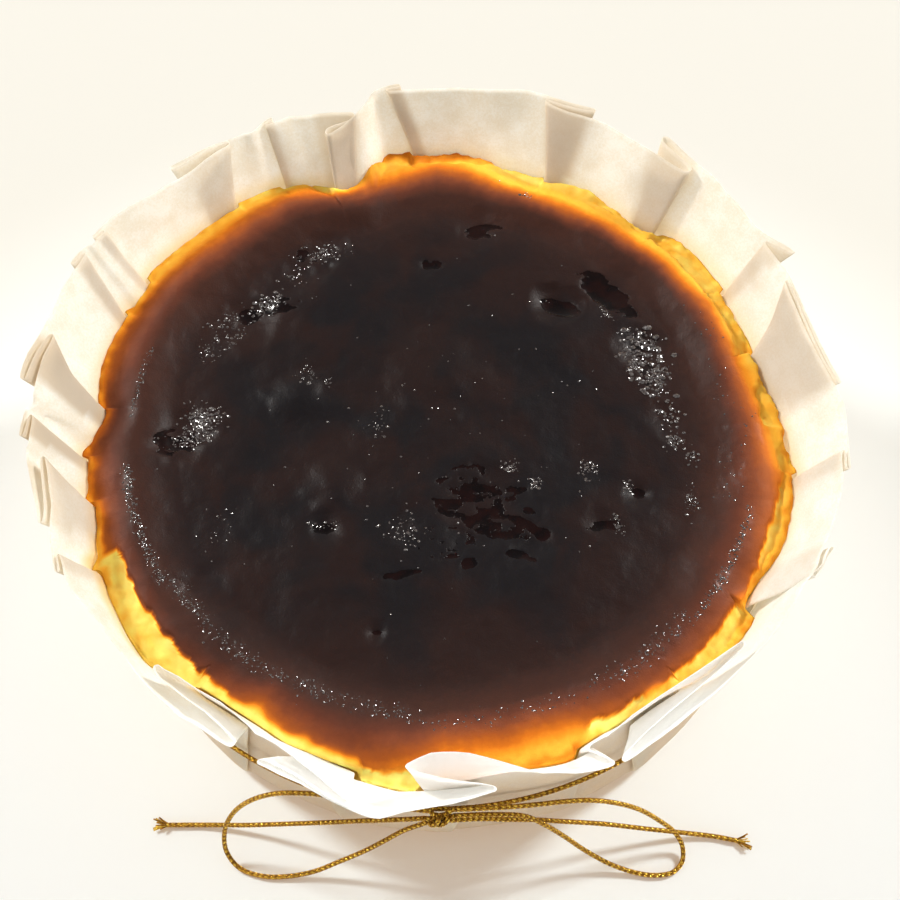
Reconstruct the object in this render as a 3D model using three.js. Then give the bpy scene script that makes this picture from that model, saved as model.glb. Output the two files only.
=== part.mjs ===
// A round burnt cheesecake in its pleated paper case, tied round the middle with a thin braided
// cord that ends in a bow. Millimetres, +Z up. The origin is the middle of the case's underside
// and the bow faces -Y. Plan angles are in degrees, counter-clockwise from +X.

import * as THREE from 'three';

// ---- driving dimensions ----
const GAP = 0.3;              // clearance between pieces that touch
const SHEET = 0.4;            // wall of the paper case
const CAKE_EDGE_Z = 45;       // where the cake's top meets the paper
const CAKE_RADIUS = 75;
const SHOULDER_RADIUS = 66.5; // crest of the raised rim of the crust
const SHOULDER_RISE = 3.6;    // crest above the cake's edge
const SUNK_TOP = 1.3;         // middle of the top above the cake's edge
const CORD_DIAMETER = 1.1;
const RING_Z = 26;            // height of the tie round the case
const RING_TILT_DEG = 1;      // the tie sits a little higher on the right
const RING_RADIUS = 75;       // middle of the cord, just clear of the pleats

const DEG = Math.PI / 180;
const { lerp, clamp, smoothstep } = THREE.MathUtils;

// ---- the paper case ----
const WALL_PROFILE = [[0, 71.6], [1.6, 72.9], [4, 73.2], [RING_Z, 73.3], [CAKE_EDGE_Z, CAKE_RADIUS + 0.5]];
const FOLD_START_Z = 4;       // below this the sheet is an even ring
const LEVELS = [
  { z: 0, flare: 0 }, { z: 1.6, flare: 0 }, { z: FOLD_START_Z, flare: 0 }, { z: RING_Z, flare: 0 },
  { z: CAKE_EDGE_Z, flare: 0 }, { z: CAKE_EDGE_Z, flare: 0.32 }, { z: CAKE_EDGE_Z, flare: 0.66 },
  { z: CAKE_EDGE_Z, flare: 1 },
];
const RING_WINDOW_DEG = 2;    // half of what one pleat takes of the even ring
const FIRST_LAP_DEG = 0.25;   // half lap of a pleat where it starts
const PLEAT_MARGIN_DEG = 2.4; // from a fold to where its panel runs free
const PITCH_LOW = 0.62;       // between the layers of a pleat, at the tie
const PITCH_EDGE = 0.85;      // and at the cake's edge
const TIP_LIMIT = 1.1;        // how far a fold's nose may run past its layers
const BULGE_SHARES = [0.5, 0.35]; // how far along a pleat's first and last layer their bulges are
const PANEL_STEP_DEG = 7;     // a panel between two pleats has about one step in so many degrees

// Each pleat is a Z fold. rim and edge: plan angles of its two folds, at the paper's rim and at the
// cake's edge. side 1: the layer that comes from the lower angle lies inside; -1: outside. out and
// high: the rim's radius and height at the panel before, the far fold, the near fold and the panel
// after (one height where all are the same). gape: between layers at the rim. bulge: how far the
// first layer bulges out and the last one bulges in at the rim.
const PLEATS = [
  { rim: [2.2, 21.2], edge: [3.5, 14], side: 1, out: [82.2, 79.8, 81.6, 80.6], high: 59, gape: 1.2 },
  { rim: [24.8, 28.7], edge: [27, 28.6], side: 1, out: [80.3, 81.2, 83.8, 81.2], high: 59, gape: 1 },
  { rim: [45.4, 53], edge: [46, 50.5], side: -1, out: [81.6, 82, 80.9, 78.9], high: 60, gape: 2.4 },
  { rim: [64.2, 72.4], edge: [65.5, 69], side: 1, out: [80.2, 82, 82.2, 83.3], high: 59.5, gape: 1.1 },
  { rim: [95.6, 98], edge: [92, 94], side: 1, out: [82.4, 82.9, 83.1, 82.8], high: 59.3, gape: 1 },
  { rim: [103.6, 109.7], edge: [106, 110.5], side: 1, out: [80, 75.9, 76.9, 81], high: 58.5, gape: 2.4 },
  { rim: [116.5, 118.2], edge: [116.8, 118.2], side: 1, out: [81.6, 81.6, 81.9, 81.1], high: 59, gape: 0.9 },
  { rim: [124.4, 134.5], edge: [128, 133.5], side: -1, out: [82.4, 83.6, 82.5, 80.8], high: 59, gape: 1.4 },
  { rim: [149, 151], edge: [149.3, 150.7], side: -1, out: [84.4, 84.2, 84.2, 83.9], high: 59.5, gape: 0.9 },
  { rim: [153.8, 156.4], edge: [156.6, 158.6], side: -1, out: [85.2, 85, 84.9, 84.5], high: 59.5, gape: 1 },
  { rim: [168.4, 176.3], edge: [175.5, 178], side: -1, out: [83.6, 84.6, 82.6, 83.2], high: 60.2, gape: 1.6 },
  { rim: [181.4, 184.8], edge: [184.4, 186.2], side: -1, out: [83.2, 83.8, 82.8, 83], high: 59, gape: 1 },
  { rim: [188, 198.5], edge: [193, 199], side: -1, out: [83.8, 82.4, 81, 81.6], high: 58.5, gape: 1.3 },
  { rim: [203.5, 206], edge: [204, 206], side: -1, out: [82.2, 82, 81.8, 81.4], high: 58, gape: 0.9 },
  { rim: [225.6, 241.6], edge: [229.5, 239.5], side: -1, out: [80.6, 79.8, 78.4, 76.7],
    high: [57.5, 56.5, 57.5, 57.5], gape: 2.1, bulge: [0.6, 0] },
  { rim: [245, 258.2], edge: [248, 257], side: 1, out: [77.2, 83.8, 80.8, 84.6], high: [58, 54, 56, 53], gape: 1.5 },
  { rim: [264.6, 277], edge: [267, 275.5], side: -1, out: [84.6, 79.8, 77, 77.4],
    high: [52.5, 55.5, 57, 58], gape: 1.4, bulge: [0, 4] },
  { rim: [290, 292.6], edge: [290.5, 292.6], side: -1, out: [81.4, 80.8, 78.6, 76.7], high: 58, gape: 1.6 },
  { rim: [293.8, 318], edge: [299, 309], side: 1, out: [76.6, 78.2, 80.4, 80.6],
    high: [57.5, 57, 55, 55.5], gape: 1.6, bulge: [0, 0.5] },
  { rim: [331, 336.6], edge: [326.5, 334.5], side: -1, out: [80.8, 82.8, 83, 82.2], high: 58.5, gape: 1.3 },
  { rim: [348.5, 351.5], edge: [349, 351], side: 1, out: [82.4, 82.8, 82.8, 83], high: 59, gape: 1 },
];
// How far the wall leans in from round at the cake's edge (out, where negative): plan angle, mm.
const LEAN = [
  [0, 2.4], [3, 2.2], [9, 4.6], [14, 6.6], [18, 4.6], [27, 3.4], [35, 3], [41, 1.8], [44, 3.4], [46, 5],
  [50.5, 6], [53, 4.8], [58, 4], [63, 4.2], [69, 6.4], [76, 5.6], [81, 1.4], [88, 1.2], [94, 2.4],
  [100, 1.8], [103.6, 9], [106, 9.6], [110.5, 9.8], [113, 5], [117, 2.2], [128, 1], [134, 0], [148, 0],
  [154, 1.2], [158, 0.6], [166, 0.4], [172, 2.4], [175.5, 4.8], [178, 4.2], [180.5, 1.6], [188, 1],
  [194, 2.2], [198, 1], [202, -0.8], [211, -1.8], [222, -1.6], [226, 1], [232, 1.9], [241, 1.8],
  [246, 0.8], [252, 0.2], [259, -0.2], [267, -1.2], [272, -0.4], [278, 0.6], [290, 0.8], [294, 1.8],
  [300, 2], [309, 1.7], [315, 0.8], [320, 0.2], [325, 0.6], [327, 2.4], [330, 2.8], [333, 1.8], [336, 0.4],
  [342, -0.2], [349, 0.4], [353, 1.6], [357, 2.6], [360, 2.4],
];

/** Value at x of a table of [x, value] rows, straight between them. */
function along(table, x) {
  let row = 1;
  while (row < table.length - 1 && x > table[row][0]) row += 1;
  const [x0, v0] = table[row - 1];
  const [x1, v1] = table[row];
  return lerp(v0, v1, clamp((x - x0) / (x1 - x0), 0, 1));
}

const turnTo = (from, to) => (((to - from) % 360) + 360) % 360;

function atPolar(angle, radius) {
  return new THREE.Vector2(Math.cos(angle * DEG), Math.sin(angle * DEG)).multiplyScalar(radius);
}

/** The two fold angles of a pleat at a level of the wall. */
function foldAngles(pleat, { z, flare }) {
  const middle = (pleat.edge[0] + pleat.edge[1]) / 2;
  const spread = clamp((z - FOLD_START_Z) / (CAKE_EDGE_Z - FOLD_START_Z), 0, 1);
  const low = middle - FIRST_LAP_DEG;
  const high = middle + FIRST_LAP_DEG;
  return [
    lerp(lerp(low, pleat.edge[0], spread), pleat.rim[0], flare),
    lerp(lerp(high, pleat.edge[1], spread), pleat.rim[1], flare),
  ];
}

/** The points across one pleat at a level, as plan angle, radius and height of the rim there. */
function pleatPoints(pleat, before, after, level) {
  const { z, flare } = level;
  const [a, b] = foldAngles(pleat, level);
  const marginA = Math.min(PLEAT_MARGIN_DEG, 0.35 * turnTo(foldAngles(before, level)[1], a));
  const marginB = Math.min(PLEAT_MARGIN_DEG, 0.35 * turnTo(b, foldAngles(after, level)[0]));
  const lowPitch = along([[RING_Z, PITCH_LOW], [CAKE_EDGE_Z, PITCH_EDGE]], z);
  const inward = -pleat.side * lerp(lowPitch, pleat.gape, flare ** 1.3);
  const wall = along(WALL_PROFILE, z);
  const shifts = [-pleat.side * lowPitch, 0, 0, pleat.side * lowPitch];
  const [lead, atB, atA, trail] = pleat.out.map((radius, i) => lerp(wall + shifts[i], radius, flare));
  const heights = Array.isArray(pleat.high) ? pleat.high : Array(4).fill(pleat.high);
  const [highLead, highB, highA, highTrail] = heights;
  const nose = (Math.min(Math.abs(inward) / 2, TIP_LIMIT) / wall) / DEG;
  const folded = [
    [a - marginA, lead, highLead], [b - nose, atB + inward, highB], [b, atB + inward / 2, highB],
    [b - nose, atB, highB], [a + nose, atA, highA], [a, atA - inward / 2, highA],
    [a + nose, atA - inward, highA], [b + marginB, trail, highTrail],
  ];
  const [first, last] = pleat.bulge ?? [0, 0];
  [[-1, BULGE_SHARES[1], -last], [1, BULGE_SHARES[0], first]].forEach(([place, share, out]) => {
    if (out === 0) return;
    const [angle, radius, high] = folded.at(place - 1).map((value, i) => lerp(value, folded.at(place)[i], share));
    folded.splice(place, 0, [angle, radius + out * flare, high]);
  });
  const centre = (pleat.edge[0] + pleat.edge[1]) / 2;
  const formed = clamp(z / FOLD_START_Z, 0, 1);
  return folded.map(([angle, radius, high], i) => {
    const evenAngle = centre + RING_WINDOW_DEG * (2 * i / (folded.length - 1) - 1);
    return { angle: lerp(evenAngle, angle, formed), radius: lerp(wall, radius, formed), high };
  });
}

/** Plan point of the sheet at a level, where the wall leans in from round. */
function leaning(angle, radius, { z, flare }) {
  const lean = along(LEAN, turnTo(0, angle)) * (1 - flare) * smoothstep(z, RING_Z, CAKE_EDGE_Z);
  return atPolar(angle, radius - lean);
}

/** The sheet's middle line at a level, all the way round, as plan points with their heights. */
function section(level) {
  const across = PLEATS.map((pleat, i) => pleatPoints(
    pleat, PLEATS.at(i - 1), PLEATS[(i + 1) % PLEATS.length], level));
  const points = [];
  PLEATS.forEach((pleat, i) => {
    across[i].forEach(({ angle, radius, high }) => points.push({
      plan: leaning(angle, radius, level), z: lerp(level.z, high, level.flare),
    }));
    const from = across[i].at(-1);
    const to = across[(i + 1) % PLEATS.length][0];
    const width = turnTo(from.angle, to.angle);
    const rimWidth = turnTo(pleat.rim[1], PLEATS[(i + 1) % PLEATS.length].rim[0]);
    const steps = Math.max(2, Math.round(rimWidth / PANEL_STEP_DEG));
    for (let k = 1; k < steps; k += 1) {
      const t = k / steps;
      const round = leaning(from.angle + t * width, lerp(from.radius, to.radius, t), level);
      const straight = leaning(from.angle, from.radius, level).lerp(leaning(to.angle, to.radius, level), t);
      points.push({
        plan: round.lerp(straight, 0.6 * level.flare),
        z: lerp(level.z, lerp(from.high, to.high, t), level.flare),
      });
    }
  });
  return points;
}

/** Plan normals of a closed line, longer at corners so that a parallel line keeps its distance. */
function sideNormals(points) {
  const count = points.length;
  return points.map((point, i) => {
    const back = point.plan.clone().sub(points[(i + count - 1) % count].plan).normalize();
    const ahead = points[(i + 1) % count].plan.clone().sub(point.plan).normalize();
    const sum = back.clone().add(ahead).normalize();
    const stretch = 1 / Math.max(0.7, Math.abs(sum.dot(ahead)));
    return new THREE.Vector2(sum.y, -sum.x).multiplyScalar(stretch);
  });
}

function paperCase() {
  const outer = [];
  const inner = [];
  LEVELS.forEach((level) => {
    const points = section(level);
    const normals = sideNormals(points);
    const floor = level.z === 0 && level.flare === 0 ? SHEET : 0;
    outer.push(points.map(({ plan, z }, i) => [...plan.clone().addScaledVector(normals[i], SHEET / 2), z]));
    inner.push(points.map(({ plan, z }, i) => [...plan.clone().addScaledVector(normals[i], -SHEET / 2), z + floor]));
  });
  const count = outer[0].length;
  const positions = [...outer.flat(), ...inner.flat(), [0, 0, 0], [0, 0, SHEET]].flat();
  const innerStart = outer.length * count;
  const underside = 2 * innerStart;
  const index = [];
  for (let i = 0; i < count; i += 1) {
    const j = (i + 1) % count;
    for (let row = 0; row < LEVELS.length - 1; row += 1) {
      const low = row * count;
      const up = low + count;
      index.push(low + i, low + j, up + j, low + i, up + j, up + i);
      index.push(innerStart + low + i, innerStart + up + j, innerStart + low + j);
      index.push(innerStart + low + i, innerStart + up + i, innerStart + up + j);
    }
    const top = (LEVELS.length - 1) * count;
    index.push(top + i, top + j, innerStart + top + j, top + i, innerStart + top + j, innerStart + top + i);
    index.push(underside, j, i, underside + 1, innerStart + i, innerStart + j);
  }
  return indexedGeometry(positions, index);
}

function indexedGeometry(positions, index) {
  const geometry = new THREE.BufferGeometry();
  geometry.setAttribute('position', new THREE.Float32BufferAttribute(positions, 3));
  geometry.setIndex(index);
  geometry.computeVertexNormals();
  return geometry;
}

// ---- the cake ----
const CAKE_SEGMENTS = 132;
const STEADY_RADIUS = 50;     // inside this the crust is round whatever the paper does
const FACET_GAP = 0.3;        // keeps the cake's flat facets clear of the paper's folds
const REACH_FACETS = 1.6;     // how many facets either way a fold holds the cake back
const TOP_RADII = [6, 13, 20, 27, 34, 41, 47, 52.5, 57.5, 61.5, 64.5, 67.5, 70.5, 73];
// Dips and blisters of the crust: x, y, radius, depth (a blister has a negative depth).
const DIPS = [
  [27.6, 33.1, 5, 1.9], [36.6, 37.1, 6, 1.2], [44.5, 20.2, 7, 1.3], [45, 5, 5, 0.8], [-40.4, 26.5, 6, 1.2],
  [-31, 38, 7, 1], [-24.7, 46.4, 6, 0.9], [-52.8, 1.6, 7, 1.2], [8.2, -16, 11, 0.8], [18.7, -24, 6, 0.9],
  [40.9, -14.7, 4.5, 1.1], [32.7, -22, 4, 1], [-27.5, -23.3, 5, 0.9], [-12.9, -45.1, 3.5, 0.9],
  [6, 50, 7, 0.7], [-4.5, 42.6, 4, 0.6], [-29.9, 10.2, 8, -1.3], [-22.8, -11.4, 8, -1.1], [0, 15, 12, -0.7],
];
// Stretches where the crust has torn and the pale crumb shows below it: first and last angle, depth.
const TEARS = [[203, 233, 1.5], [255, 272, 1], [286, 301, 1.6], [303, 359, 1.1], [0, 58, 1.2], [78, 96, 0.9]];
const TEAR_RADIUS = 69.5;

/** A smooth uneven wave round the cake, between about -1 and 1. */
const unevenness = (angle) => 0.5 * Math.sin(3 * angle * DEG + 0.7)
  + 0.3 * Math.sin(7 * angle * DEG + 2.1) + 0.2 * Math.sin(13 * angle * DEG + 4);

function tornDepth(angle) {
  const soft = 2.5;
  return TEARS.reduce((deepest, [from, to, depth]) => {
    const inside = smoothstep(angle, from - soft, from + soft) * (1 - smoothstep(angle, to - soft, to + soft));
    return Math.max(deepest, depth * inside);
  }, 0);
}

/** Height of the cake's top at a plan point, for the radius that the point has in a round case. */
function topHeight(x, y, radius) {
  const angle = turnTo(0, Math.atan2(y, x) / DEG);
  const wave = unevenness(angle);
  const crest = SHOULDER_RADIUS + 1.2 * wave;
  const rise = SHOULDER_RISE + 0.5 * unevenness(angle + 130);
  const inside = smoothstep(radius, crest - 11, crest);
  const outside = clamp((radius - crest) / (CAKE_RADIUS - crest), 0, 1);
  let height = radius < crest ? lerp(SUNK_TOP, rise, inside) : rise * (1 - outside ** 2);
  height += 0.35 * Math.sin(x / 9 + 1.3) * Math.cos(y / 11) * (1 - inside);
  const raggedRadius = TEAR_RADIUS + 0.9 * Math.sin(angle * 31 * DEG);
  height -= tornDepth(angle) * smoothstep(radius, raggedRadius - 1, raggedRadius + 1.2);
  DIPS.forEach(([cx, cy, size, depth]) => {
    const away = Math.hypot(x - cx, y - cy) / size;
    height -= depth * Math.max(0, 1 - away ** 2) ** 2;
  });
  return CAKE_EDGE_Z + height;
}

/** How far the cake reaches at each angle, kept clear of every layer of the paper at a height. */
function caseLimits(z) {
  const limits = Array(CAKE_SEGMENTS).fill(Infinity);
  const points = section({ z, flare: 0 });
  const clearance = SHEET / 2 + GAP + FACET_GAP;
  const reach = REACH_FACETS * 360 / CAKE_SEGMENTS;
  points.forEach(({ plan }, i) => {
    const next = points[(i + 1) % points.length].plan;
    for (let t = 0; t < 1; t += 0.125) {
      const at = plan.clone().lerp(next, t);
      const angle = turnTo(0, Math.atan2(at.y, at.x) / DEG);
      limits.forEach((limit, s) => {
        const spoke = (s * 360) / CAKE_SEGMENTS;
        const apart = Math.min(turnTo(spoke, angle), turnTo(angle, spoke));
        if (apart < reach) limits[s] = Math.min(limit, at.length() - clearance);
      });
    }
  });
  return limits;
}

function cake() {
  const heights = [SHEET + GAP, SHEET + GAP + 2.2, FOLD_START_Z + 1, RING_Z, 36, CAKE_EDGE_Z];
  const rings = heights.map((z) => {
    const limits = caseLimits(z);
    return limits.map((radius, s) => [...atPolar((s * 360) / CAKE_SEGMENTS, radius), z]);
  });
  const edge = rings.at(-1);
  rings[0] = rings[0].map(([x, y, z]) => [x - x / 45, y - y / 45, z]);
  [...TOP_RADII].reverse().forEach((radius) => {
    rings.push(edge.map(([x, y]) => {
      const reach = Math.hypot(x, y);
      const squeeze = (reach - STEADY_RADIUS) / (CAKE_RADIUS - STEADY_RADIUS);
      const away = radius - Math.max(0, radius - STEADY_RADIUS) * (1 - squeeze);
      const [px, py] = [(x / reach) * away, (y / reach) * away];
      return [px, py, topHeight(px, py, radius)];
    }));
  });
  const positions = [...rings.flat(), [0, 0, SHEET + GAP], [0, 0, topHeight(0, 0, 0)]].flat();
  const bottom = rings.length * CAKE_SEGMENTS;
  const last = (rings.length - 1) * CAKE_SEGMENTS;
  const index = [];
  for (let i = 0; i < CAKE_SEGMENTS; i += 1) {
    const j = (i + 1) % CAKE_SEGMENTS;
    for (let row = 0; row < rings.length - 1; row += 1) {
      const low = row * CAKE_SEGMENTS;
      const up = low + CAKE_SEGMENTS;
      index.push(low + i, low + j, up + j, low + i, up + j, up + i);
    }
    index.push(bottom, j, i, bottom + 1, last + i, last + j);
  }
  return indexedGeometry(positions, index);
}

// ---- the tie and its bow ----
const CORD_SIDES = 8;
const BOW_STEP = 4.5;         // length of one straight step of a bow's cord
// The bow's cords, from the knot on: each rises over or falls from the tie and comes to lie on
// the surface that the cake stands on.
const LOOP_LEFT = [
  [-2.8, -76.0, 28.0], [-7.9, -75.6, 29.0], [-15.8, -74.3, 30.0], [-21.8, -73.2, 29.6], [-27.9, -72.1, 28.2],
  [-34.2, -71.3, 25.3], [-39.8, -71.4, 20.5], [-43.9, -72.4, 14.5], [-46.2, -74.5, 8.0], [-46.1, -77.5, 3.2],
  [-43.5, -80.3, 0.8], [-38.5, -82.0, 0.7], [-32.8, -82.1, 0.9], [-27.5, -81.4, 2.0], [-22.0, -80.1, 5.0],
  [-16.6, -79.1, 9.5], [-12.3, -78.3, 14.5], [-8.1, -77.5, 19.5], [-4.0, -77.1, 23.2],
];
const LOOP_RIGHT = [
  [1.6, -75.9, 28.6], [6.9, -75.8, 28.8], [12.9, -75.4, 28.2], [18.0, -74.7, 27.0], [24.1, -73.8, 25.8],
  [29.3, -73.1, 24.0], [34.7, -72.7, 20.5], [40.3, -72.8, 15.5], [45.0, -73.7, 10.0], [48.6, -75.0, 5.5],
  [50.6, -77.3, 2.0], [50.4, -80.2, 0.8], [48.3, -82.3, 0.7], [44.5, -82.9, 0.7], [40.3, -82.3, 0.8],
  [34.9, -80.8, 2.4], [29.4, -78.7, 6.0], [24.9, -77.2, 11.5], [20.4, -76.2, 17.5], [16.2, -75.5, 21.6],
  [9.0, -75.9, 24.6], [2.0, -76.6, 26.6],
];
const TAIL_LEFT = [
  [-4.0, -76.7, 25.4], [-8.1, -76.1, 22.5], [-16.4, -74.8, 17.0], [-22.8, -73.8, 12.5], [-29.4, -72.9, 8.5],
  [-36.1, -72.1, 5.0], [-42.8, -71.5, 2.4], [-51.6, -70.9, 0.8], [-59.6, -70.8, 0.7],
];
const TAIL_RIGHT = [
  [1.6, -76.9, 24.4], [7.1, -76.2, 22.6], [12.2, -75.7, 20.0], [18.5, -74.8, 16.0], [24.9, -74.3, 12.5],
  [33.6, -73.8, 8.2], [42.5, -73.9, 4.4], [51.3, -74.2, 1.6], [57.8, -74.8, 0.7], [62.6, -75.8, 0.7],
];
const KNOT_HALF = [2.2, 1.4, 1.6];
const KNOT_CENTRE = [-1.3, -(RING_RADIUS + CORD_DIAMETER / 2 + GAP + KNOT_HALF[1]), RING_Z];

function cordSection() {
  const shape = new THREE.Shape();
  for (let k = 0; k < CORD_SIDES; k += 1) {
    const angle = ((k + 0.5) / CORD_SIDES) * 2 * Math.PI;
    const [x, y] = [Math.cos(angle) * CORD_DIAMETER / 2, Math.sin(angle) * CORD_DIAMETER / 2];
    if (k === 0) shape.moveTo(x, y); else shape.lineTo(x, y);
  }
  shape.closePath();
  return shape;
}

function cord(route) {
  const path = new THREE.CatmullRomCurve3(route.map((point) => new THREE.Vector3(...point)), false, 'centripetal');
  const steps = Math.round(path.getLength() / BOW_STEP);
  return new THREE.ExtrudeGeometry(cordSection(), { steps, extrudePath: path });
}

function tieRing() {
  const profile = [];
  for (let k = 0; k <= 6; k += 1) {
    const angle = (k % 6) * (Math.PI / 3);
    profile.push(new THREE.Vector2(
      RING_RADIUS + Math.cos(angle) * CORD_DIAMETER / 2, Math.sin(angle) * CORD_DIAMETER / 2));
  }
  return new THREE.LatheGeometry(profile, 60);
}

function tieKnot() {
  const knot = new THREE.SphereGeometry(1, 14, 9);
  knot.scale(...KNOT_HALF);
  return knot;
}

// ---- materials and the model ----
const finish = (color, roughness, metalness) => new THREE.MeshStandardMaterial({ color, roughness, metalness });
const crust = finish(0x2b1a17, 0.35, 0);
const paper = finish(0xf3ecdf, 0.8, 0);
const gold = finish(0xb98a24, 0.35, 0.8);

const model = new THREE.Group();

function addPiece(name, geometry, material, position = [0, 0, 0]) {
  const mesh = new THREE.Mesh(geometry, material);
  mesh.name = name;
  mesh.position.set(...position);
  model.add(mesh);
  return mesh;
}

addPiece('cheesecake', cake(), crust);
addPiece('parchment_case', paperCase(), paper);
const ring = addPiece('tie_ring', tieRing(), gold, [0, 0, RING_Z]);
ring.rotation.set(Math.PI / 2, -RING_TILT_DEG * DEG, 0, 'YXZ');
addPiece('tie_knot', tieKnot(), gold, KNOT_CENTRE);
addPiece('bow_loop_left', cord(LOOP_LEFT), gold);
addPiece('bow_loop_right', cord(LOOP_RIGHT), gold);
addPiece('bow_tail_left', cord(TAIL_LEFT), gold);
addPiece('bow_tail_right', cord(TAIL_RIGHT), gold);

export default model;
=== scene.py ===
"""Looks of a round burnt cheesecake in its pleated paper case, tied with a thin braided cord."""

import math
import random

import bpy
import numpy as np
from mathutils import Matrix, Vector


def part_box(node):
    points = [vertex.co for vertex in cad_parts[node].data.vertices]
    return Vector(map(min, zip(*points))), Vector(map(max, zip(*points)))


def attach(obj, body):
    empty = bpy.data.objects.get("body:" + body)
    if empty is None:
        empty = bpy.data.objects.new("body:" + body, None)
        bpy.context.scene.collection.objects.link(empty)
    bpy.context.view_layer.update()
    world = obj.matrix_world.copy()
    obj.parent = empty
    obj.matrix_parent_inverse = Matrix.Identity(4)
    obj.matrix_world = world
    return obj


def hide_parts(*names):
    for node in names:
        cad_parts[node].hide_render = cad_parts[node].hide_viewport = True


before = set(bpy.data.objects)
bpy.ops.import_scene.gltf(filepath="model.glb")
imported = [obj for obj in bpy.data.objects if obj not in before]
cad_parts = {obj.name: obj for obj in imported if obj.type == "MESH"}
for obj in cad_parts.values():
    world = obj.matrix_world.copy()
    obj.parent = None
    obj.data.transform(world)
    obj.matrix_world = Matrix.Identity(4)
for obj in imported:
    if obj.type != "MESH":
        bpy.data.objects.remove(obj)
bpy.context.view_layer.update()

# ---- sizes, in millimetres, +Z up, as in the frame ----
MM = 0.001
CAKE_EDGE_Z = 45
CAKE_RADIUS = 75
SHOULDER_RADIUS = 66.5
SHOULDER_RISE = 3.6
SUNK_TOP = 1.3
RING_Z = 26
RING_TILT_DEG = 1
RING_RADIUS = 75
SHEET = 0.14                  # the paper as it is drawn; its folded layers still stand apart
SEED = 7

# ---- the photograph's camera ----
CAMERA_ELEVATION_DEG = 61.5
CAMERA_DISTANCE = 340
CAMERA_LENS = 64.3            # on a 36 mm wide square frame
LOOKS_FROM = (0, 0, 45)       # the distance is measured from here
LOOKS_AT = (2.1, -3.0, 43.4)  # middle of the picture


def make_camera():
    elevation = math.radians(CAMERA_ELEVATION_DEG)
    back = Vector((0, -math.cos(elevation), math.sin(elevation)))
    camera = bpy.data.objects.new("camera", bpy.data.cameras.new("camera"))
    camera.location = (Vector(LOOKS_FROM) + back * CAMERA_DISTANCE) * MM
    aim = Vector(LOOKS_AT) * MM - camera.location
    camera.rotation_euler = aim.to_track_quat("-Z", "Y").to_euler()
    camera.data.sensor_width = 36
    camera.data.lens = CAMERA_LENS
    camera.data.clip_start = 0.01
    bpy.context.scene.collection.objects.link(camera)
    bpy.context.scene.camera = camera


# ---- shader maths ----
class Socket:
    """An output of a finish's nodes. Arithmetic on it adds Math nodes."""

    def __init__(self, finish, link):
        self.finish = finish
        self.link = link

    def _math(self, operation, *values, clamp=False):
        settings = {"operation": operation, "use_clamp": clamp}
        return self.finish.node("ShaderNodeMath", settings, dict(enumerate(values)))

    def __add__(self, other):
        return self._math("ADD", self, other)

    __radd__ = __add__

    def __sub__(self, other):
        return self._math("SUBTRACT", self, other)

    def __rsub__(self, other):
        return self._math("SUBTRACT", other, self)

    def __mul__(self, other):
        return self._math("MULTIPLY", self, other)

    __rmul__ = __mul__

    def smooth(self, low, high):
        """0 below low and 1 above high, smoothly between."""
        settings = {"interpolation_type": "SMOOTHSTEP"}
        return self.finish.node("ShaderNodeMapRange", settings, {0: self, 1: low, 2: high})

    def clamped(self):
        return self._math("ADD", self, 0, clamp=True)


class Finish:
    """A material, with one method that adds any node."""

    def __init__(self, name):
        self.material = bpy.data.materials.new(name)
        self.material.use_nodes = True
        self.tree = self.material.node_tree
        self.tree.nodes.clear()

    def node(self, kind, settings=None, sockets=None, output=0):
        node = self.tree.nodes.new(kind)
        for name, value in (settings or {}).items():
            if name == "stops":
                ramp = node.color_ramp
                while len(ramp.elements) < len(value):
                    ramp.elements.new(1)
                for element, (place, color) in zip(ramp.elements, value):
                    element.position = place
                    element.color = (*color, 1)
            else:
                setattr(node, name, value)
        for name, value in (sockets or {}).items():
            socket = node.inputs[name]
            if isinstance(value, Socket):
                self.tree.links.new(value.link, socket)
            elif isinstance(value, tuple) and socket.type == "RGBA":
                socket.default_value = (*value, 1)
            else:
                socket.default_value = value
        return Socket(self, node.outputs[output]) if len(node.outputs) else None

    def place(self):
        """The point of the surface in the object's own space, in millimetres."""
        metres = self.node("ShaderNodeTexCoord", output="Object")
        return self.node("ShaderNodeVectorMath", {"operation": "SCALE"}, {0: metres, "Scale": 1 / MM})

    def noise(self, size, detail=2, roughness=0.5, warp=0):
        """Noise from 0 to 1 whose lumps are about size millimetres."""
        return self.node("ShaderNodeTexNoise", None, {
            "Vector": self.place(), "Scale": 1 / size, "Detail": detail, "Roughness": roughness,
            "Distortion": warp})

    def attribute(self, name):
        return self.node("ShaderNodeAttribute", {"attribute_name": name}, output="Fac")

    def mix(self, factor, one, other):
        """The colour one where factor is 0 and other where it is 1."""
        return self.node("ShaderNodeMix", {"data_type": "RGBA"}, {0: factor, 6: one, 7: other}, output=2)

    def ramp(self, value, stops):
        return self.node("ShaderNodeValToRGB", {"stops": stops}, {0: value})

    def bump(self, height, depth):
        """A normal bumped by height, which is depth millimetres where it is 1."""
        return self.node("ShaderNodeBump", None, {
            "Height": height, "Strength": 1.0, "Distance": depth * MM})

    def show(self, shader):
        self.node("ShaderNodeOutputMaterial", None, {"Surface": shader})
        return self.material

    def show_surface(self, sockets):
        return self.show(self.node("ShaderNodeBsdfPrincipled", None, sockets))


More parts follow.
